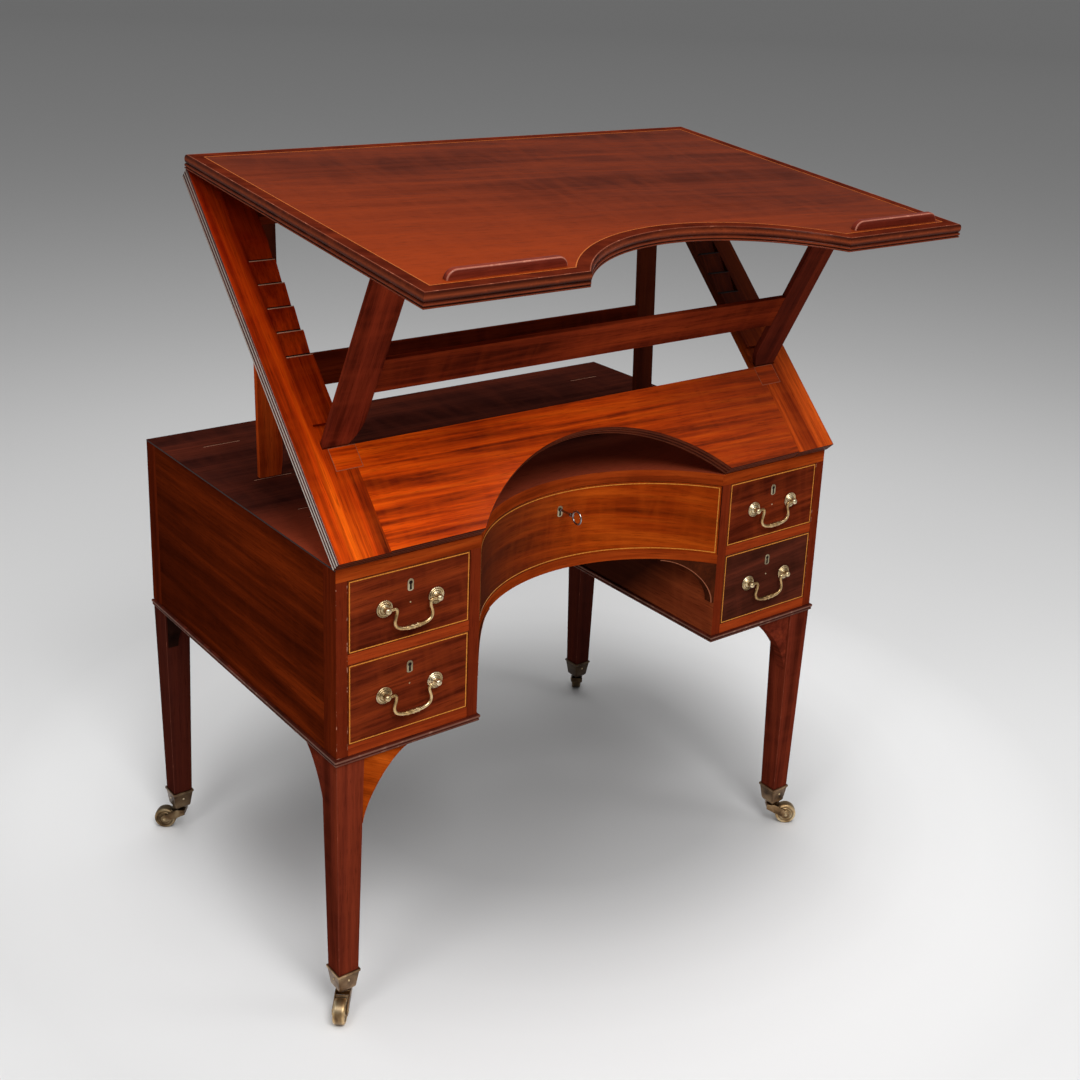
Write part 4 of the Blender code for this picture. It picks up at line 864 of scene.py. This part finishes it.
# The bail's wire: thicker towards its grip, where it is ringed and fluted
half = np.array([(BAIL_END - x * BAIL_HOOK, -z * BAIL_DROP, r) for x, z, r in BAIL])
bail_path = smooth_path(np.concatenate([half, half[::-1][1:] * (-1, 1, 1)]), 181)
in_grip = (np.abs(bail_path[:, 0]) < GRIP_HALF) & (bail_path[:, 1] < GRIP_LEVEL)
grip_rings = GRIP_SWELL * np.cos(bail_path[:, 0] * 2 * math.pi / GRIP_PITCH) * in_grip
bail_radius = BAIL_RADIUS * (bail_path[:, 2] + grip_rings)
bail_flutes = GRIP_FLUTE * in_grip

for across in ("left", "right"):
    for level in ("upper", "lower"):
        word = f"{across}_{level}"
        drawer, bail = word + "_drawer", word + "_bail"
        front = front_of(drawer)
        # The right lower drawer takes the darker veneer as painted shade
        veneer(word + "_front_veneer", front, FACE, "dim" if word == "right_lower" else "field", drawer)
        line(word + "_stringing", front, LINE_INSET, FACE, drawer)
        low, high = low_of(drawer), high_of(drawer)
        middle = (low[0] + high[0]) / 2
        escutcheon(word, drawer, (middle, FRONT_Y - SKIN / 2, high[2] - KEYHOLE_DROP))
        put = flat_put((middle, FRONT_Y - SKIN / 2, high[2] - PIN_DROP), *FACING)
        turned(word + "_pin", PIN_HEAD, put, drawer, "brass", (), 12)
        for hand in ("left", "right"):
            node = f"{word}_post_{hand}"
            seat = (low_of(node) + high_of(node)) / 2
            put = flat_put((seat[0], high_of(node)[1], seat[2]), *FACING)
            turned(
                f"{word}_rose_{hand}", ROSE, put, drawer, "brass", (node,),
                ROSE_STEPS, ROSE_LOBES, ROSE_RIPPLE,
            )
        put = flat_put(pivot(bail + "_hinge"), *FACING)
        swept(
            bail + "_swan_neck", bail_path[:, :2], bail_radius, put, bail, "bail", (bail,),
            steps=16, flutes=5, depth=bail_flutes,
        )

low, high = low_of("centre_drawer"), high_of("centre_drawer")
reach = BOW_RADIUS * math.asin(high[0] / BOW_RADIUS)
front = rect(-reach, reach, low[2], high[2], BOW_COLUMNS)
veneer("centre_front_veneer", front, bow_put, "bow", "centre_drawer", BOW_VENEER)
line("centre_stringing", front, BOW_LINE_INSET, bow_put, "centre_drawer", BOW_SKIN)
lock = pivot("key_turn")
escutcheon("centre", "centre_drawer", (0, lock[1] - BOW_SKIN / 2, lock[2] - EYE_RISE))
turned("key_shank", SHANK, flat_put(lock, *FACING), "key", "steel", (), 24)
angle = np.linspace(0, 2 * math.pi, RING_STEPS, endpoint=False)
ring = np.column_stack([RING_CENTRE + RING_RADIUS * np.cos(angle), RING_RADIUS * np.sin(angle)])
put = flat_put(lock, FORWARD, UPWARD, ACROSS)
swept("key_bow", ring, np.full(RING_STEPS, RING_WIRE), put, "key", "steel", ("key",), True)

# Legs and casters

LEG_HALF, LEG_HEAD_HALF, LEG_RIM_HALF, LEG_FOOT_HALF, LEG_TIP_HALF = 0.0225, 0.0222, 0.0166, 0.0142, 0.0134
LEG_EASE, LEG_TIP_EASE, LEG_RIM_DROP = 0.0003, 0.0008, 0.0012
ARRISES = (0, 0, 1, 0, 0) * 4
FRONT_BRACKET, SIDE_BRACKET, BACK_BRACKET = (0.078, 0.108), (0.060, 0.090), (0.045, 0.066)
BRACKET_THICK, BRACKET_SET, BRACKET_TIP, BRACKET_CURVE, BRACKET_SOFT = 0.018, 0.004, 0.003, 1.42, 0.0008
BRACKET_EDGE = eased(BRACKET_THICK, BRACKET_SOFT)

# Cup: half widths at heights above its foot, then widths past the socket's half at drops below its rim,
# with the tarnish of them all
CUP_NECK = (
    (0.0062, 0), (0.0074, 0.0008), (0.0086, 0.0020), (0.0118, 0.0054), (0.0134, 0.0072), (0.0142, 0.0092),
)
CUP_RIM = (
    (-0.0004, 0.0050), (0.0003, 0.0044), (0.0010, 0.0036), (0.0012, 0.0018),
    (0.0009, 0.0004), (0.0002, 0), (-0.0011, 0), (-0.0013, 0.0016),
)
CUP_TARNISH = (0.7, 0.7, 0.6, 0.5, 0.4, 0.35, 0.8, 0.7, 0.1, 0.0, 0.0, 0.1, 0.6, 1.0)
CUP_CORNER, CUP_PIN_RISE, CUP_PIN_SINK = 0.0016, 0.0245, 0.0018
CUP_PIN = [(0.0019, -0.0003), (0.0019, 0.0003), (0.0014, 0.0009), (0.0004, 0.0011)]

CROWN_BACK, CROWN_FRONT, CROWN_HALF, CROWN_TALL, CROWN_SOFT = -0.0105, 0.0040, 0.0116, 0.0090, 0.0014
CHEEK_EYE, CHEEK_DROP, CHEEK_OUT, CHEEK_THICK, CHEEK_SOFT = 0.0066, 0.0140, 0.0097, 0.0020, 0.0006
WEB_IN, WEB_OUT, WEB_START, WEB_STOP, WEB_HALF, WEB_SOFT = 0.0202, 0.0226, 122, 176, 0.0098, 0.0003
RIVET_OUT = 0.0116
EYE_UNDER, EYE_OVER = -115, 65
RIVET = [(0.0032, -0.0024), (0.0032, 0.0002), (0.0027, 0.0008), (0.0015, 0.0012), (0.0004, 0.0013)]
HALF_WHEEL = [
    (0.0034, 0.0088), (0.0060, 0.0088), (0.0066, 0.0084), (0.0070, 0.0076), (0.0098, 0.0074),
    (0.0104, 0.0080), (0.0112, 0.0080), (0.0118, 0.0074), (0.0140, 0.0076), (0.0146, 0.0086),
    (0.0158, 0.0090), (0.0170, 0.0088), (0.0180, 0.0080), (0.0186, 0.0066), (0.0189, 0.0040),
]
WHEEL = HALF_WHEEL + [(0.0190, 0.0)] + [(r, -h) for r, h in reversed(HALF_WHEEL)]


def bracket_outline(reach, drop):
    """Outline of a leg's bracket: a level top over a hollow that falls from its far tip to its foot."""
    t = np.linspace(0, QUARTER, 25)[::-1]
    along = reach * (1 - np.sin(t) ** BRACKET_CURVE)
    down = -BRACKET_TIP - (drop - BRACKET_TIP) * (1 - np.maximum(np.cos(t), 0) ** BRACKET_CURVE)

    def outline(d):
        a = along + d * (0.5 - along / reach)
        return np.column_stack([a, down + d]), np.column_stack([a, np.full(25, -d * 0.2)])

    return outline


def leg(word, side, depth):
    """A tapered square leg, drawn in inside its cup, with its curved brackets."""
    spot, node = pivot(word + "_swivel"), word + "_leg"
    foot, top, rim = low_of(node)[2], high_of(node)[2], high_of(word + "_socket")[2]
    levels = [(LEG_TIP_HALF, foot), (LEG_FOOT_HALF, foot + LEG_TIP_EASE), (LEG_RIM_HALF, rim - LEG_RIM_DROP)]
    levels += [(LEG_HALF, top - LEG_EASE), (LEG_HEAD_HALF, top)]
    put = flat_put((spot[0], spot[1], 0), *LEVEL)
    wear = np.tile(ARRISES, (len(levels), 1))
    squared(word + "_tapered_leg", levels, put, "case", "leg", (node,), wear=wear)
    size, finish = BACK_BRACKET, "shade"
    if depth < 0:
        origin = (spot[0] - side * LEG_HEAD_HALF, spot[1] - LEG_HALF + BRACKET_SET + BRACKET_THICK, top)
        put = flat_put(origin, (-side, 0, 0), UPWARD, FORWARD)
        # The right front bracket takes the darker leg wood as painted shade
        shape, finish = bracket_outline(*FRONT_BRACKET), "bracket" if side < 0 else "leg"
        plank(word + "_bracket", shape, BRACKET_EDGE, put, "case", finish, rows=8)
        size, finish = SIDE_BRACKET, "leg"
    origin = (spot[0] + side * (LEG_HALF - BRACKET_SET - BRACKET_THICK), spot[1] - depth * LEG_HEAD_HALF, top)
    put = flat_put(origin, (0, -depth, 0), UPWARD, (side, 0, 0))
    shape = bracket_outline(*size)
    plank(word + "_side_bracket", shape, BRACKET_EDGE, put, "case", finish, rows=8)


def cup(word, side):
    """A square brass cup with a rim and two pins, drawn in to its swivel neck."""
    spot, node = pivot(word + "_swivel"), word + "_socket"
    low, high = low_of(node), high_of(node)
    half = (high[0] - low[0]) / 2
    levels = [(wide, low[2] + rise) for wide, rise in CUP_NECK]
    levels += [(half + past, high[2] - drop) for past, drop in CUP_RIM]
    put = flat_put((spot[0], spot[1], 0), *LEVEL)
    squared(word + "_cup", levels, put, "case", "cup", (node,), CUP_CORNER, CUP_TARNISH)
    for end, along, out in (("front", ACROSS, FORWARD), ("side", BACKWARD, (side, 0, 0))):
        seat = spot * (1, 1, 0) + np.array(out) * (half - CUP_PIN_SINK) + (0, 0, low[2] + CUP_PIN_RISE)
        put = flat_put(seat, along, UPWARD, out)
        turned(f"{word}_cup_pin_{end}", CUP_PIN, put, "case", "brass", (), 16)


def web(d):
    """Outline of the web behind a wheel: a strip of a ring about the axle, under the crown."""
    t = np.radians(np.linspace(WEB_START, WEB_STOP, 17))
    ring = np.column_stack([np.cos(t), np.sin(t)])
    return ring * (WEB_IN + d), ring * (WEB_OUT - d)


def caster(word):
    """A caster: a crown block with a web, two cheeks with riveted eyes, and a stepped wheel."""
    body, wheel, horn = word + "_caster", word + "_wheel", word + "_horn"
    spot, axle = pivot(word + "_swivel"), pivot(word + "_roll")
    ahead = (axle - spot) * (1, 1, 0)
    trail = np.linalg.norm(ahead)
    ahead = ahead / trail
    sideways = np.cross(UPWARD, ahead)
    crown_z = high_of(horn)[2]
    put = flat_put((spot[0], spot[1], crown_z - CROWN_TALL), ahead, sideways, UPWARD)
    crown = rect(CROWN_BACK, CROWN_FRONT, -CROWN_HALF, CROWN_HALF)
    plank(word + "_crown", crown, eased(CROWN_TALL, CROWN_SOFT), put, body, "worn", (horn,))
    put = flat_put(axle - sideways * WEB_HALF, ahead, UPWARD, sideways)
    plank(word + "_web", web, eased(2 * WEB_HALF, WEB_SOFT), put, body, "worn")

    def cheek(d):
        """Outline of a cheek: from the crown's depth it narrows to a round eye about the axle."""
        t = np.linspace(0, 1, 13)
        lower, upper = np.radians(EYE_UNDER * (1 - t)), np.radians(EYE_OVER * (1 - t))
        eye = CHEEK_EYE - d
        under = np.column_stack([trail + eye * np.cos(lower), axle[2] + eye * np.sin(lower)])
        over = np.column_stack([trail + eye * np.cos(upper), axle[2] + eye * np.sin(upper)])
        start = np.array([[CROWN_BACK + d, crown_z - CROWN_TALL + d], [0.0, crown_z - CHEEK_DROP + d]])
        shoulder = np.array([[CROWN_BACK + d, crown_z - d], [CROWN_FRONT, crown_z - d]])
        return np.concatenate([start, under]), np.concatenate([shoulder, over])

    edge = eased(CHEEK_THICK, CHEEK_SOFT)
    for hand, sign in (("inner", -1), ("outer", 1)):
        out = sideways * sign
        put = flat_put(np.array([spot[0], spot[1], 0]) + out * CHEEK_OUT, ahead, UPWARD, out)
        plank(f"{word}_cheek_{hand}", cheek, edge, put, body, "worn", rows=4)
        put = flat_put(axle + out * RIVET_OUT, ahead, UPWARD, out)
        turned(f"{word}_axle_{hand}", RIVET, put, body, "brass", (), 20)
    put = flat_put(axle, ahead, UPWARD, sideways)
    turned(word + "_stepped_wheel", WHEEL, put, wheel, "wheel", (wheel,), 56)


for side, across in SIDES:
    for depth, along in ((-1, "front"), (1, "back")):
        word = f"{along}_{across}"
        leg(word, side, depth)
        cup(word, side)
        caster(word)

# Leaves

REED_COUNT, REED_DEPTH, STILE_REED_DEPTH, END_REED_SHARE = 3, 0.0019, 0.0014, 0.5
REED_FADE, END_REED_GAP = ((1.0,), (0.45,)), 0.0001
PANEL_GAP, PANEL_CORE, PANEL_BACK, CORE_SHY = 0.0002, 0.0016, 0.0030, 0.0004
BLOCK_IN, BLOCK_OUT, BLOCK_FOOT, BLOCK_SEAM, SEAM_LIFT = 0.388, 0.431, 0.1300, 0.0008, 0.0003
BOARD_CORE, BOARD_BACK, ROLL_DEPTH, BAND_LIFT = 0.0022, 0.0036, 0.0024, 0.0001
BOARD_ROLLS = ((0.0210, 0.0125), (0.0085, 0.0055), (0.0030, 0.0030))
PANEL_ROWS, BOARD_ROWS, LINE_ROWS = 14, 28, 12
BAND_SINK, BAND_FOOT, BAND_EDGE, BAND_WORN_AND_HIGHLIT = 0.0002, 0.0024, 0.0025, 0.0040
LEDGE_HALF, LEDGE_TALL, LEDGE_END, LEDGE_UP = 0.090, 0.0135, 0.015, 0.038
LEDGE_THICK, LEDGE_SOFT, LEDGE_WEAR_AND_HIGHLIGHT = 0.010, 0.0022, (0, 1, 1, 0, 0, 0, 0, 0)
KNUCKLES, KNUCKLE_RADIUS, KNUCKLE_GROOVE, HINGE_HALF, HINGE_OUT = 5, 0.0024, 0.0006, 0.032, 0.30
HINGE_UP, HINGE_BEHIND, KNUCKLE_REACH = 0.0027, 0.0023, 0.46


def leaning(angle):
    """The directions up along a leaf that rises at an angle, and out of its upper face."""
    return np.array([0, math.cos(angle), math.sin(angle)]), np.array([0, -math.sin(angle), math.cos(angle)])


leaf_up, leaf_out = leaning(LEAF_RISE)
leaf_axis = pivot("lower_leaf_hinge")
on_leaf = flat_put(leaf_axis, ACROSS, leaf_up, leaf_out)
on_leaf_face = flat_put(leaf_axis + leaf_out * LEAF_THICK, ACROSS, leaf_up, leaf_out)
panel = bowed(STILE_IN - PANEL_GAP, PANEL_LENGTH, CUT_HALF, CUT_SAG, 0.0, 0.1)
square = [(PANEL_CORE, LEAF_THICK), (PANEL_CORE, 0.0)]
plank(
    "slope_panel_board", panel, square, on_leaf, "lower_leaf", "slope",
    ("slope_panel",), PANEL_ROWS,
)
reeded = reeds(LEAF_THICK, REED_COUNT, REED_DEPTH)
reeded += [(PANEL_BACK, CORE_SHY), (PANEL_BACK, LEAF_THICK - CORE_SHY)]
sections = np.stack([np.insert(panel(d)[0], 2, w, axis=1) for d, w in reeded], 1)
wear = np.tile(crests([d for d, w in reeded], REED_DEPTH), (len(sections), 1))
lofted("slope_panel_reeds", sections, on_leaf, "lower_leaf", "edge", wear=wear)

# A stile's reeds, as distances out from its edge at heights through it
inset, height = np.array(reeds(LEAF_THICK, REED_COUNT, STILE_REED_DEPTH, 13)).T
proud = np.concatenate([STILE_REED_DEPTH - inset, [-CORE_SHY, -CORE_SHY]])
height = np.concatenate([height, [CORE_SHY, LEAF_THICK - CORE_SHY]])
wear = np.tile(crests(STILE_REED_DEPTH - proud, STILE_REED_DEPTH, 16), (2, 1))

# The floor of a notch is a ramp, from its root up to the face
ramp = math.atan2(NOTCH_DEPTH, NOTCH_PITCH - NOTCH_LAND)
ramp_up = leaf_up * math.cos(ramp) + leaf_out * math.sin(ramp)
ramp_out = leaf_out * math.cos(ramp) - leaf_up * math.sin(ramp)

for side, word in SIDES:
    # Reeds along the stile's outer edge, with pale crests that are partly wear and partly painted highlight,
    # brighter towards its foot, and reeds across its lower end
    edges = side * (LEAF_HALF + proud)
    ends = [np.column_stack([edges, np.full(len(proud), u), height]) for u in (0.0, LEAF_LENGTH)]
    fading = wear * REED_FADE
    lofted(word + "_stile_reeds", ends, on_leaf, "lower_leaf", "stile_reed", wear=fading)
    ends = [
        np.column_stack([np.full(len(proud), side * x), -END_REED_SHARE * proud, height])
        for x in (STILE_IN + END_REED_GAP, LEAF_HALF + CORE_SHY)
    ]
    lofted(word + "_stile_end_reeds", ends, on_leaf, "lower_leaf", "edge", wear=wear)

    # Each notch has a land, rubbed on the left stile and painted dark as shade on the right one, and a root
    # with painted shadow
    across = span(side, STILE_IN + NOTCH_SHY, STILE_IN + NOTCH_WIDTH - NOTCH_SHY)
    for n in range(NOTCH_COUNT):
        u = LEAF_LENGTH - NOTCH_TOP_INSET - n * NOTCH_PITCH
        land = rect(*across, u - NOTCH_WEAR, u)
        veneer(f"{word}_notch_land_{n}", land, on_leaf_face, "joint" if side < 0 else "arris", "lower_leaf")
        root = leaf_axis + leaf_up * u + leaf_out * (LEAF_THICK - NOTCH_DEPTH)
        put = flat_put(root, ACROSS, ramp_up, ramp_out)
        shade = rect(*across, GAP, NOTCH_SHADE)
        plank(f"{word}_notch_root_{n}", shade, VENEER, put, "lower_leaf", "dark")

    # A block let into the panel's upper corner, with a pale seam round it
    block = rect(*span(side, BLOCK_IN, BLOCK_OUT), BLOCK_FOOT, PANEL_LENGTH)
    plank(word + "_inlaid_block", block, VENEER, on_leaf_face, "lower_leaf", "slope")
    seam = ((0, 0.0), (0, SEAM_LIFT), (BLOCK_SEAM, SEAM_LIFT), (BLOCK_SEAM, 0.0))
    rings = [ring_of(block, d, w, 3) for d, w in seam]
    lofted(word + "_block_joint", rings, on_leaf_face, "lower_leaf", "seam", (), True)

board_up, board_out = leaning(BOARD_TILT)
board_front = pivot("board_hinge") - board_up * BOARD_LENGTH
on_board = flat_put(board_front, ACROSS, board_up, board_out)
board = bowed(BOARD_HALF, BOARD_LENGTH, BOARD_CUT_HALF, BOARD_CUT_SAG)
square = [(BOARD_CORE, BOARD_THICK), (BOARD_CORE, 0.0)]
plank("board_top", board, square, on_board, "upper_leaf", "board", ("drawing_board",), BOARD_ROWS)

# The board's edge: three rolls, the top one the largest, each a half round from its top down
roll = np.linspace(0, math.pi, 9)
edge = []
for top, tall in BOARD_ROLLS:
    edge += [(ROLL_DEPTH * (1 - math.sin(s)), top - tall * (1 - math.cos(s)) / 2) for s in roll]
edge += [(BOARD_BACK, CORE_SHY), (BOARD_BACK, BOARD_THICK - CORE_SHY)]
rings = [ring_of(board, d, w, BOARD_ROWS) for d, w in edge]
wear = crests([d for d, w in edge], ROLL_DEPTH)
lofted("board_reeds", rings, on_board, "upper_leaf", "reed", (), True, wear)

# Crossband round the board, rubbed and painted with a highlight along its outer edge, and the line inside it
under, over = BOARD_THICK - BAND_SINK, BOARD_THICK + BAND_LIFT
band = ((BAND_FOOT, under), (BAND_EDGE, over), (BAND_WORN_AND_HIGHLIT, over))
band += ((BOARD_LINE_INSET, over), (BOARD_LINE_INSET, under))
rings = [ring_of(board, d, w, BOARD_ROWS) for d, w in band]
lofted("board_crossband", rings, on_board, "upper_leaf", "band", (), True, (1, 1, 0, 0, 0))
put = flat_put(board_front + board_out * (BOARD_THICK - SKIN + BAND_LIFT), ACROSS, board_up, board_out)
line(
    "board_stringing", board, BOARD_LINE_INSET, put, "upper_leaf",
    rows=LINE_ROWS, width=BOARD_LINE_WIDTH, finish="board_line",
)


def ledge_outline(d):
    """Outline of a ledge: a level foot under long quarter-oval ends."""
    half, tall, wide = LEDGE_HALF - d, LEDGE_TALL - d, LEDGE_END - d
    end = half - wide
    turn = np.linspace(0, QUARTER, 12)
    a = np.concatenate([-end - wide * np.cos(turn), end + wide * np.sin(turn)])
    rise = tall * np.sqrt(np.maximum(1 - (np.maximum(np.abs(a) - end, 0) / wide) ** 2, 0))
    return np.column_stack([a, np.zeros(24)]), np.column_stack([a, rise])


for side, word in SIDES:
    node = word + "_ledge"
    middle = (low_of(node)[0] + high_of(node)[0]) / 2
    origin = board_front + board_up * LEDGE_UP + board_out * (BOARD_THICK + BAND_LIFT) + (middle, 0, 0)
    put = flat_put(origin, ACROSS, board_out, -board_up)
    name, edge = word + "_book_ledge", eased(LEDGE_THICK, LEDGE_SOFT)
    plank(name, ledge_outline, edge, put, "upper_leaf", "ledge", (node,), 4, wear=LEDGE_WEAR_AND_HIGHLIGHT)

# Hinge knuckles behind the board: a barrel with a groove at each joint between them
t = np.linspace(0, 1, 61)
grooved = np.abs((t * KNUCKLES) % 1 - 0.5) > KNUCKLE_REACH
barrel = np.column_stack([KNUCKLE_RADIUS - KNUCKLE_GROOVE * grooved, -HINGE_HALF + 2 * HINGE_HALF * t])
for side, word in SIDES:
    place = pivot("board_hinge") + (side * HINGE_OUT, 0, 0) + leaf_up * HINGE_UP - leaf_out * HINGE_BEHIND
    put = flat_put(place, leaf_up, leaf_out, ACROSS)
    turned(word + "_board_hinge", barrel, put, "lower_leaf", "worn", (), 20)

# Solids that keep their shape

KEPT = {
    "top": ("case_top",),
    "side": ("left_side", "right_side"),
    "back": ("back_panel",),
    "inner": ("left_inner_side", "right_inner_side", "left_divider", "right_divider", "kneehole_soffit"),
    "spandrel": ("left_spandrel", "right_spandrel"),
    "box": tuple(name for name in NODES if name.endswith("_drawer")),
    "left_stile": ("left_stile",),
    "right_stile": ("right_stile",),
    "stretcher": ("leaf_top_rail", "rear_prop_stretcher", "front_prop_stretcher"),
    "prop": ("rear_prop_left_leg", "rear_prop_right_leg"),
    "lean": ("front_prop_left_leg", "front_prop_right_leg"),
}
SOFTENED = ("prop", "lean", "stretcher")
SOFT_EDGE, SOFT_ANGLE, WELD = 0.0010, math.radians(40), 0.00001
for finish, names in KEPT.items():
    for name in names:
        solid = NODES[name].data
        solid.materials.clear()
        solid.materials.append(FINISH[finish])
        if finish in SOFTENED:
            NODES[name].modifiers.new("weld", "WELD").merge_threshold = WELD
            soft = NODES[name].modifiers.new("soft_edges", "BEVEL")
            soft.width, soft.segments, soft.limit_method = SOFT_EDGE, 2, "ANGLE"
            soft.angle_limit = SOFT_ANGLE

# Stage, light and camera

FLOOR_REACH = 60.0
# Painted shadow: the floor's tone is darker under the desk, lightest in a ring round it, and falls off
# further out
FLOOR_CENTRE, FLOOR_FADE = (0.2, 0.2, 0.0), 24.0
FLOOR_TONES = (
    (0.0, 182), (0.40, 195), (0.55, 226), (0.70, 243), (0.88, 240), (1.05, 228), (1.9, 226), (3.5, 219),
    (24.0, 197),
)
corners = np.array([(-1, -1, 0), (1, -1, 0), (1, 1, 0), (-1, 1, 0)]) * FLOOR_REACH
floor_mesh = bpy.data.meshes.new("studio_floor")
floor_mesh.from_pydata(corners.tolist(), [], [(0, 1, 2, 3)])
look = Finish("studio_floor")
far = look.add("ShaderNodeVectorMath", operation="DISTANCE")
look.join(look.here(), far, 0)
far.inputs[1].default_value = FLOOR_CENTRE
share = look.spread(far.outputs["Value"], 0.0, FLOOR_FADE, 0.0, 1.0)
tone = look.ramp(share, *((reach / FLOOR_FADE, linear(grey, grey, grey)) for reach, grey in FLOOR_TONES))
look.join(tone, look.shader, "Base Color")
look.fixed(Roughness=0.9)
floor_mesh.materials.append(look.material)
floor = bpy.data.objects.new("studio_floor", floor_mesh)
scene.collection.objects.link(floor)

world = bpy.data.worlds.new("studio")
world.use_nodes = True
sky = world.node_tree.nodes["Background"]
sky.inputs["Color"].default_value = (0.80, 0.80, 0.80, 1)
sky.inputs["Strength"].default_value = 0.30
scene.world = world


def aimed(obj, right, up, back, place):
    """Put a lamp or camera at a place, facing away from back."""
    turn = np.eye(4)
    turn[:3, 0], turn[:3, 1], turn[:3, 2], turn[:3, 3] = right, up, back, place
    obj.matrix_world = Matrix(turn.tolist())
    scene.collection.objects.link(obj)


def lamp(name, place, aim, size, power, shine=False):
    """A soft square light that faces a point."""
    data = bpy.data.lights.new(name, "AREA")
    data.shape = "SQUARE"
    data.size = size
    data.energy = power
    obj = bpy.data.objects.new(name, data)
    obj.visible_glossy = shine
    back = np.array(place, float) - np.array(aim, float)
    back /= np.linalg.norm(back)
    right = np.cross(UPWARD, back)
    right /= np.linalg.norm(right)
    aimed(obj, right, np.cross(back, right), back, place)


lamp("key_light", (-0.8, -2.6, 3.5), (0, -0.1, 0.8), 1.6, 92, True)
lamp("left_light", (-2.3, -0.9, 3.1), (-0.3, 0, 0.8), 1.0, 20, True)
lamp("right_light", (1.8, -1.9, 3.1), (0, -0.3, 1.0), 0.8, 9, True)
lamp("top_light", (0.2, 0.2, 4.4), (0, 0.05, 0), 3.2, 92)

AZIMUTH, ELEVATION, ROLL = math.radians(-37.97), math.radians(17.61), math.radians(2.355)
FOCAL_PIXELS, FRAME_PIXELS, SENSOR = 1486.6, 1080, 36.0
CENTRE_PIXEL = (551.07, 409.22)
CAMERA_PLACE = (-1.3768, -1.8226, 1.5490)
ground = math.cos(ELEVATION)
back = np.array([math.sin(AZIMUTH) * ground, -math.cos(AZIMUTH) * ground, math.sin(ELEVATION)])
level = np.array([math.cos(AZIMUTH), math.sin(AZIMUTH), 0.0])
rise = np.cross(back, level)
right = level * math.cos(ROLL) + rise * math.sin(ROLL)
up = -level * math.sin(ROLL) + rise * math.cos(ROLL)
lens = bpy.data.cameras.new("photo_camera")
lens.sensor_width = SENSOR
lens.lens = SENSOR * FOCAL_PIXELS / FRAME_PIXELS
lens.shift_x = (FRAME_PIXELS / 2 - CENTRE_PIXEL[0]) / FRAME_PIXELS
lens.shift_y = (CENTRE_PIXEL[1] - FRAME_PIXELS / 2) / FRAME_PIXELS
camera = bpy.data.objects.new("photo_camera", lens)
aimed(camera, right, up, back, CAMERA_PLACE)
scene.camera = camera
scene.view_settings.view_transform = "Standard"
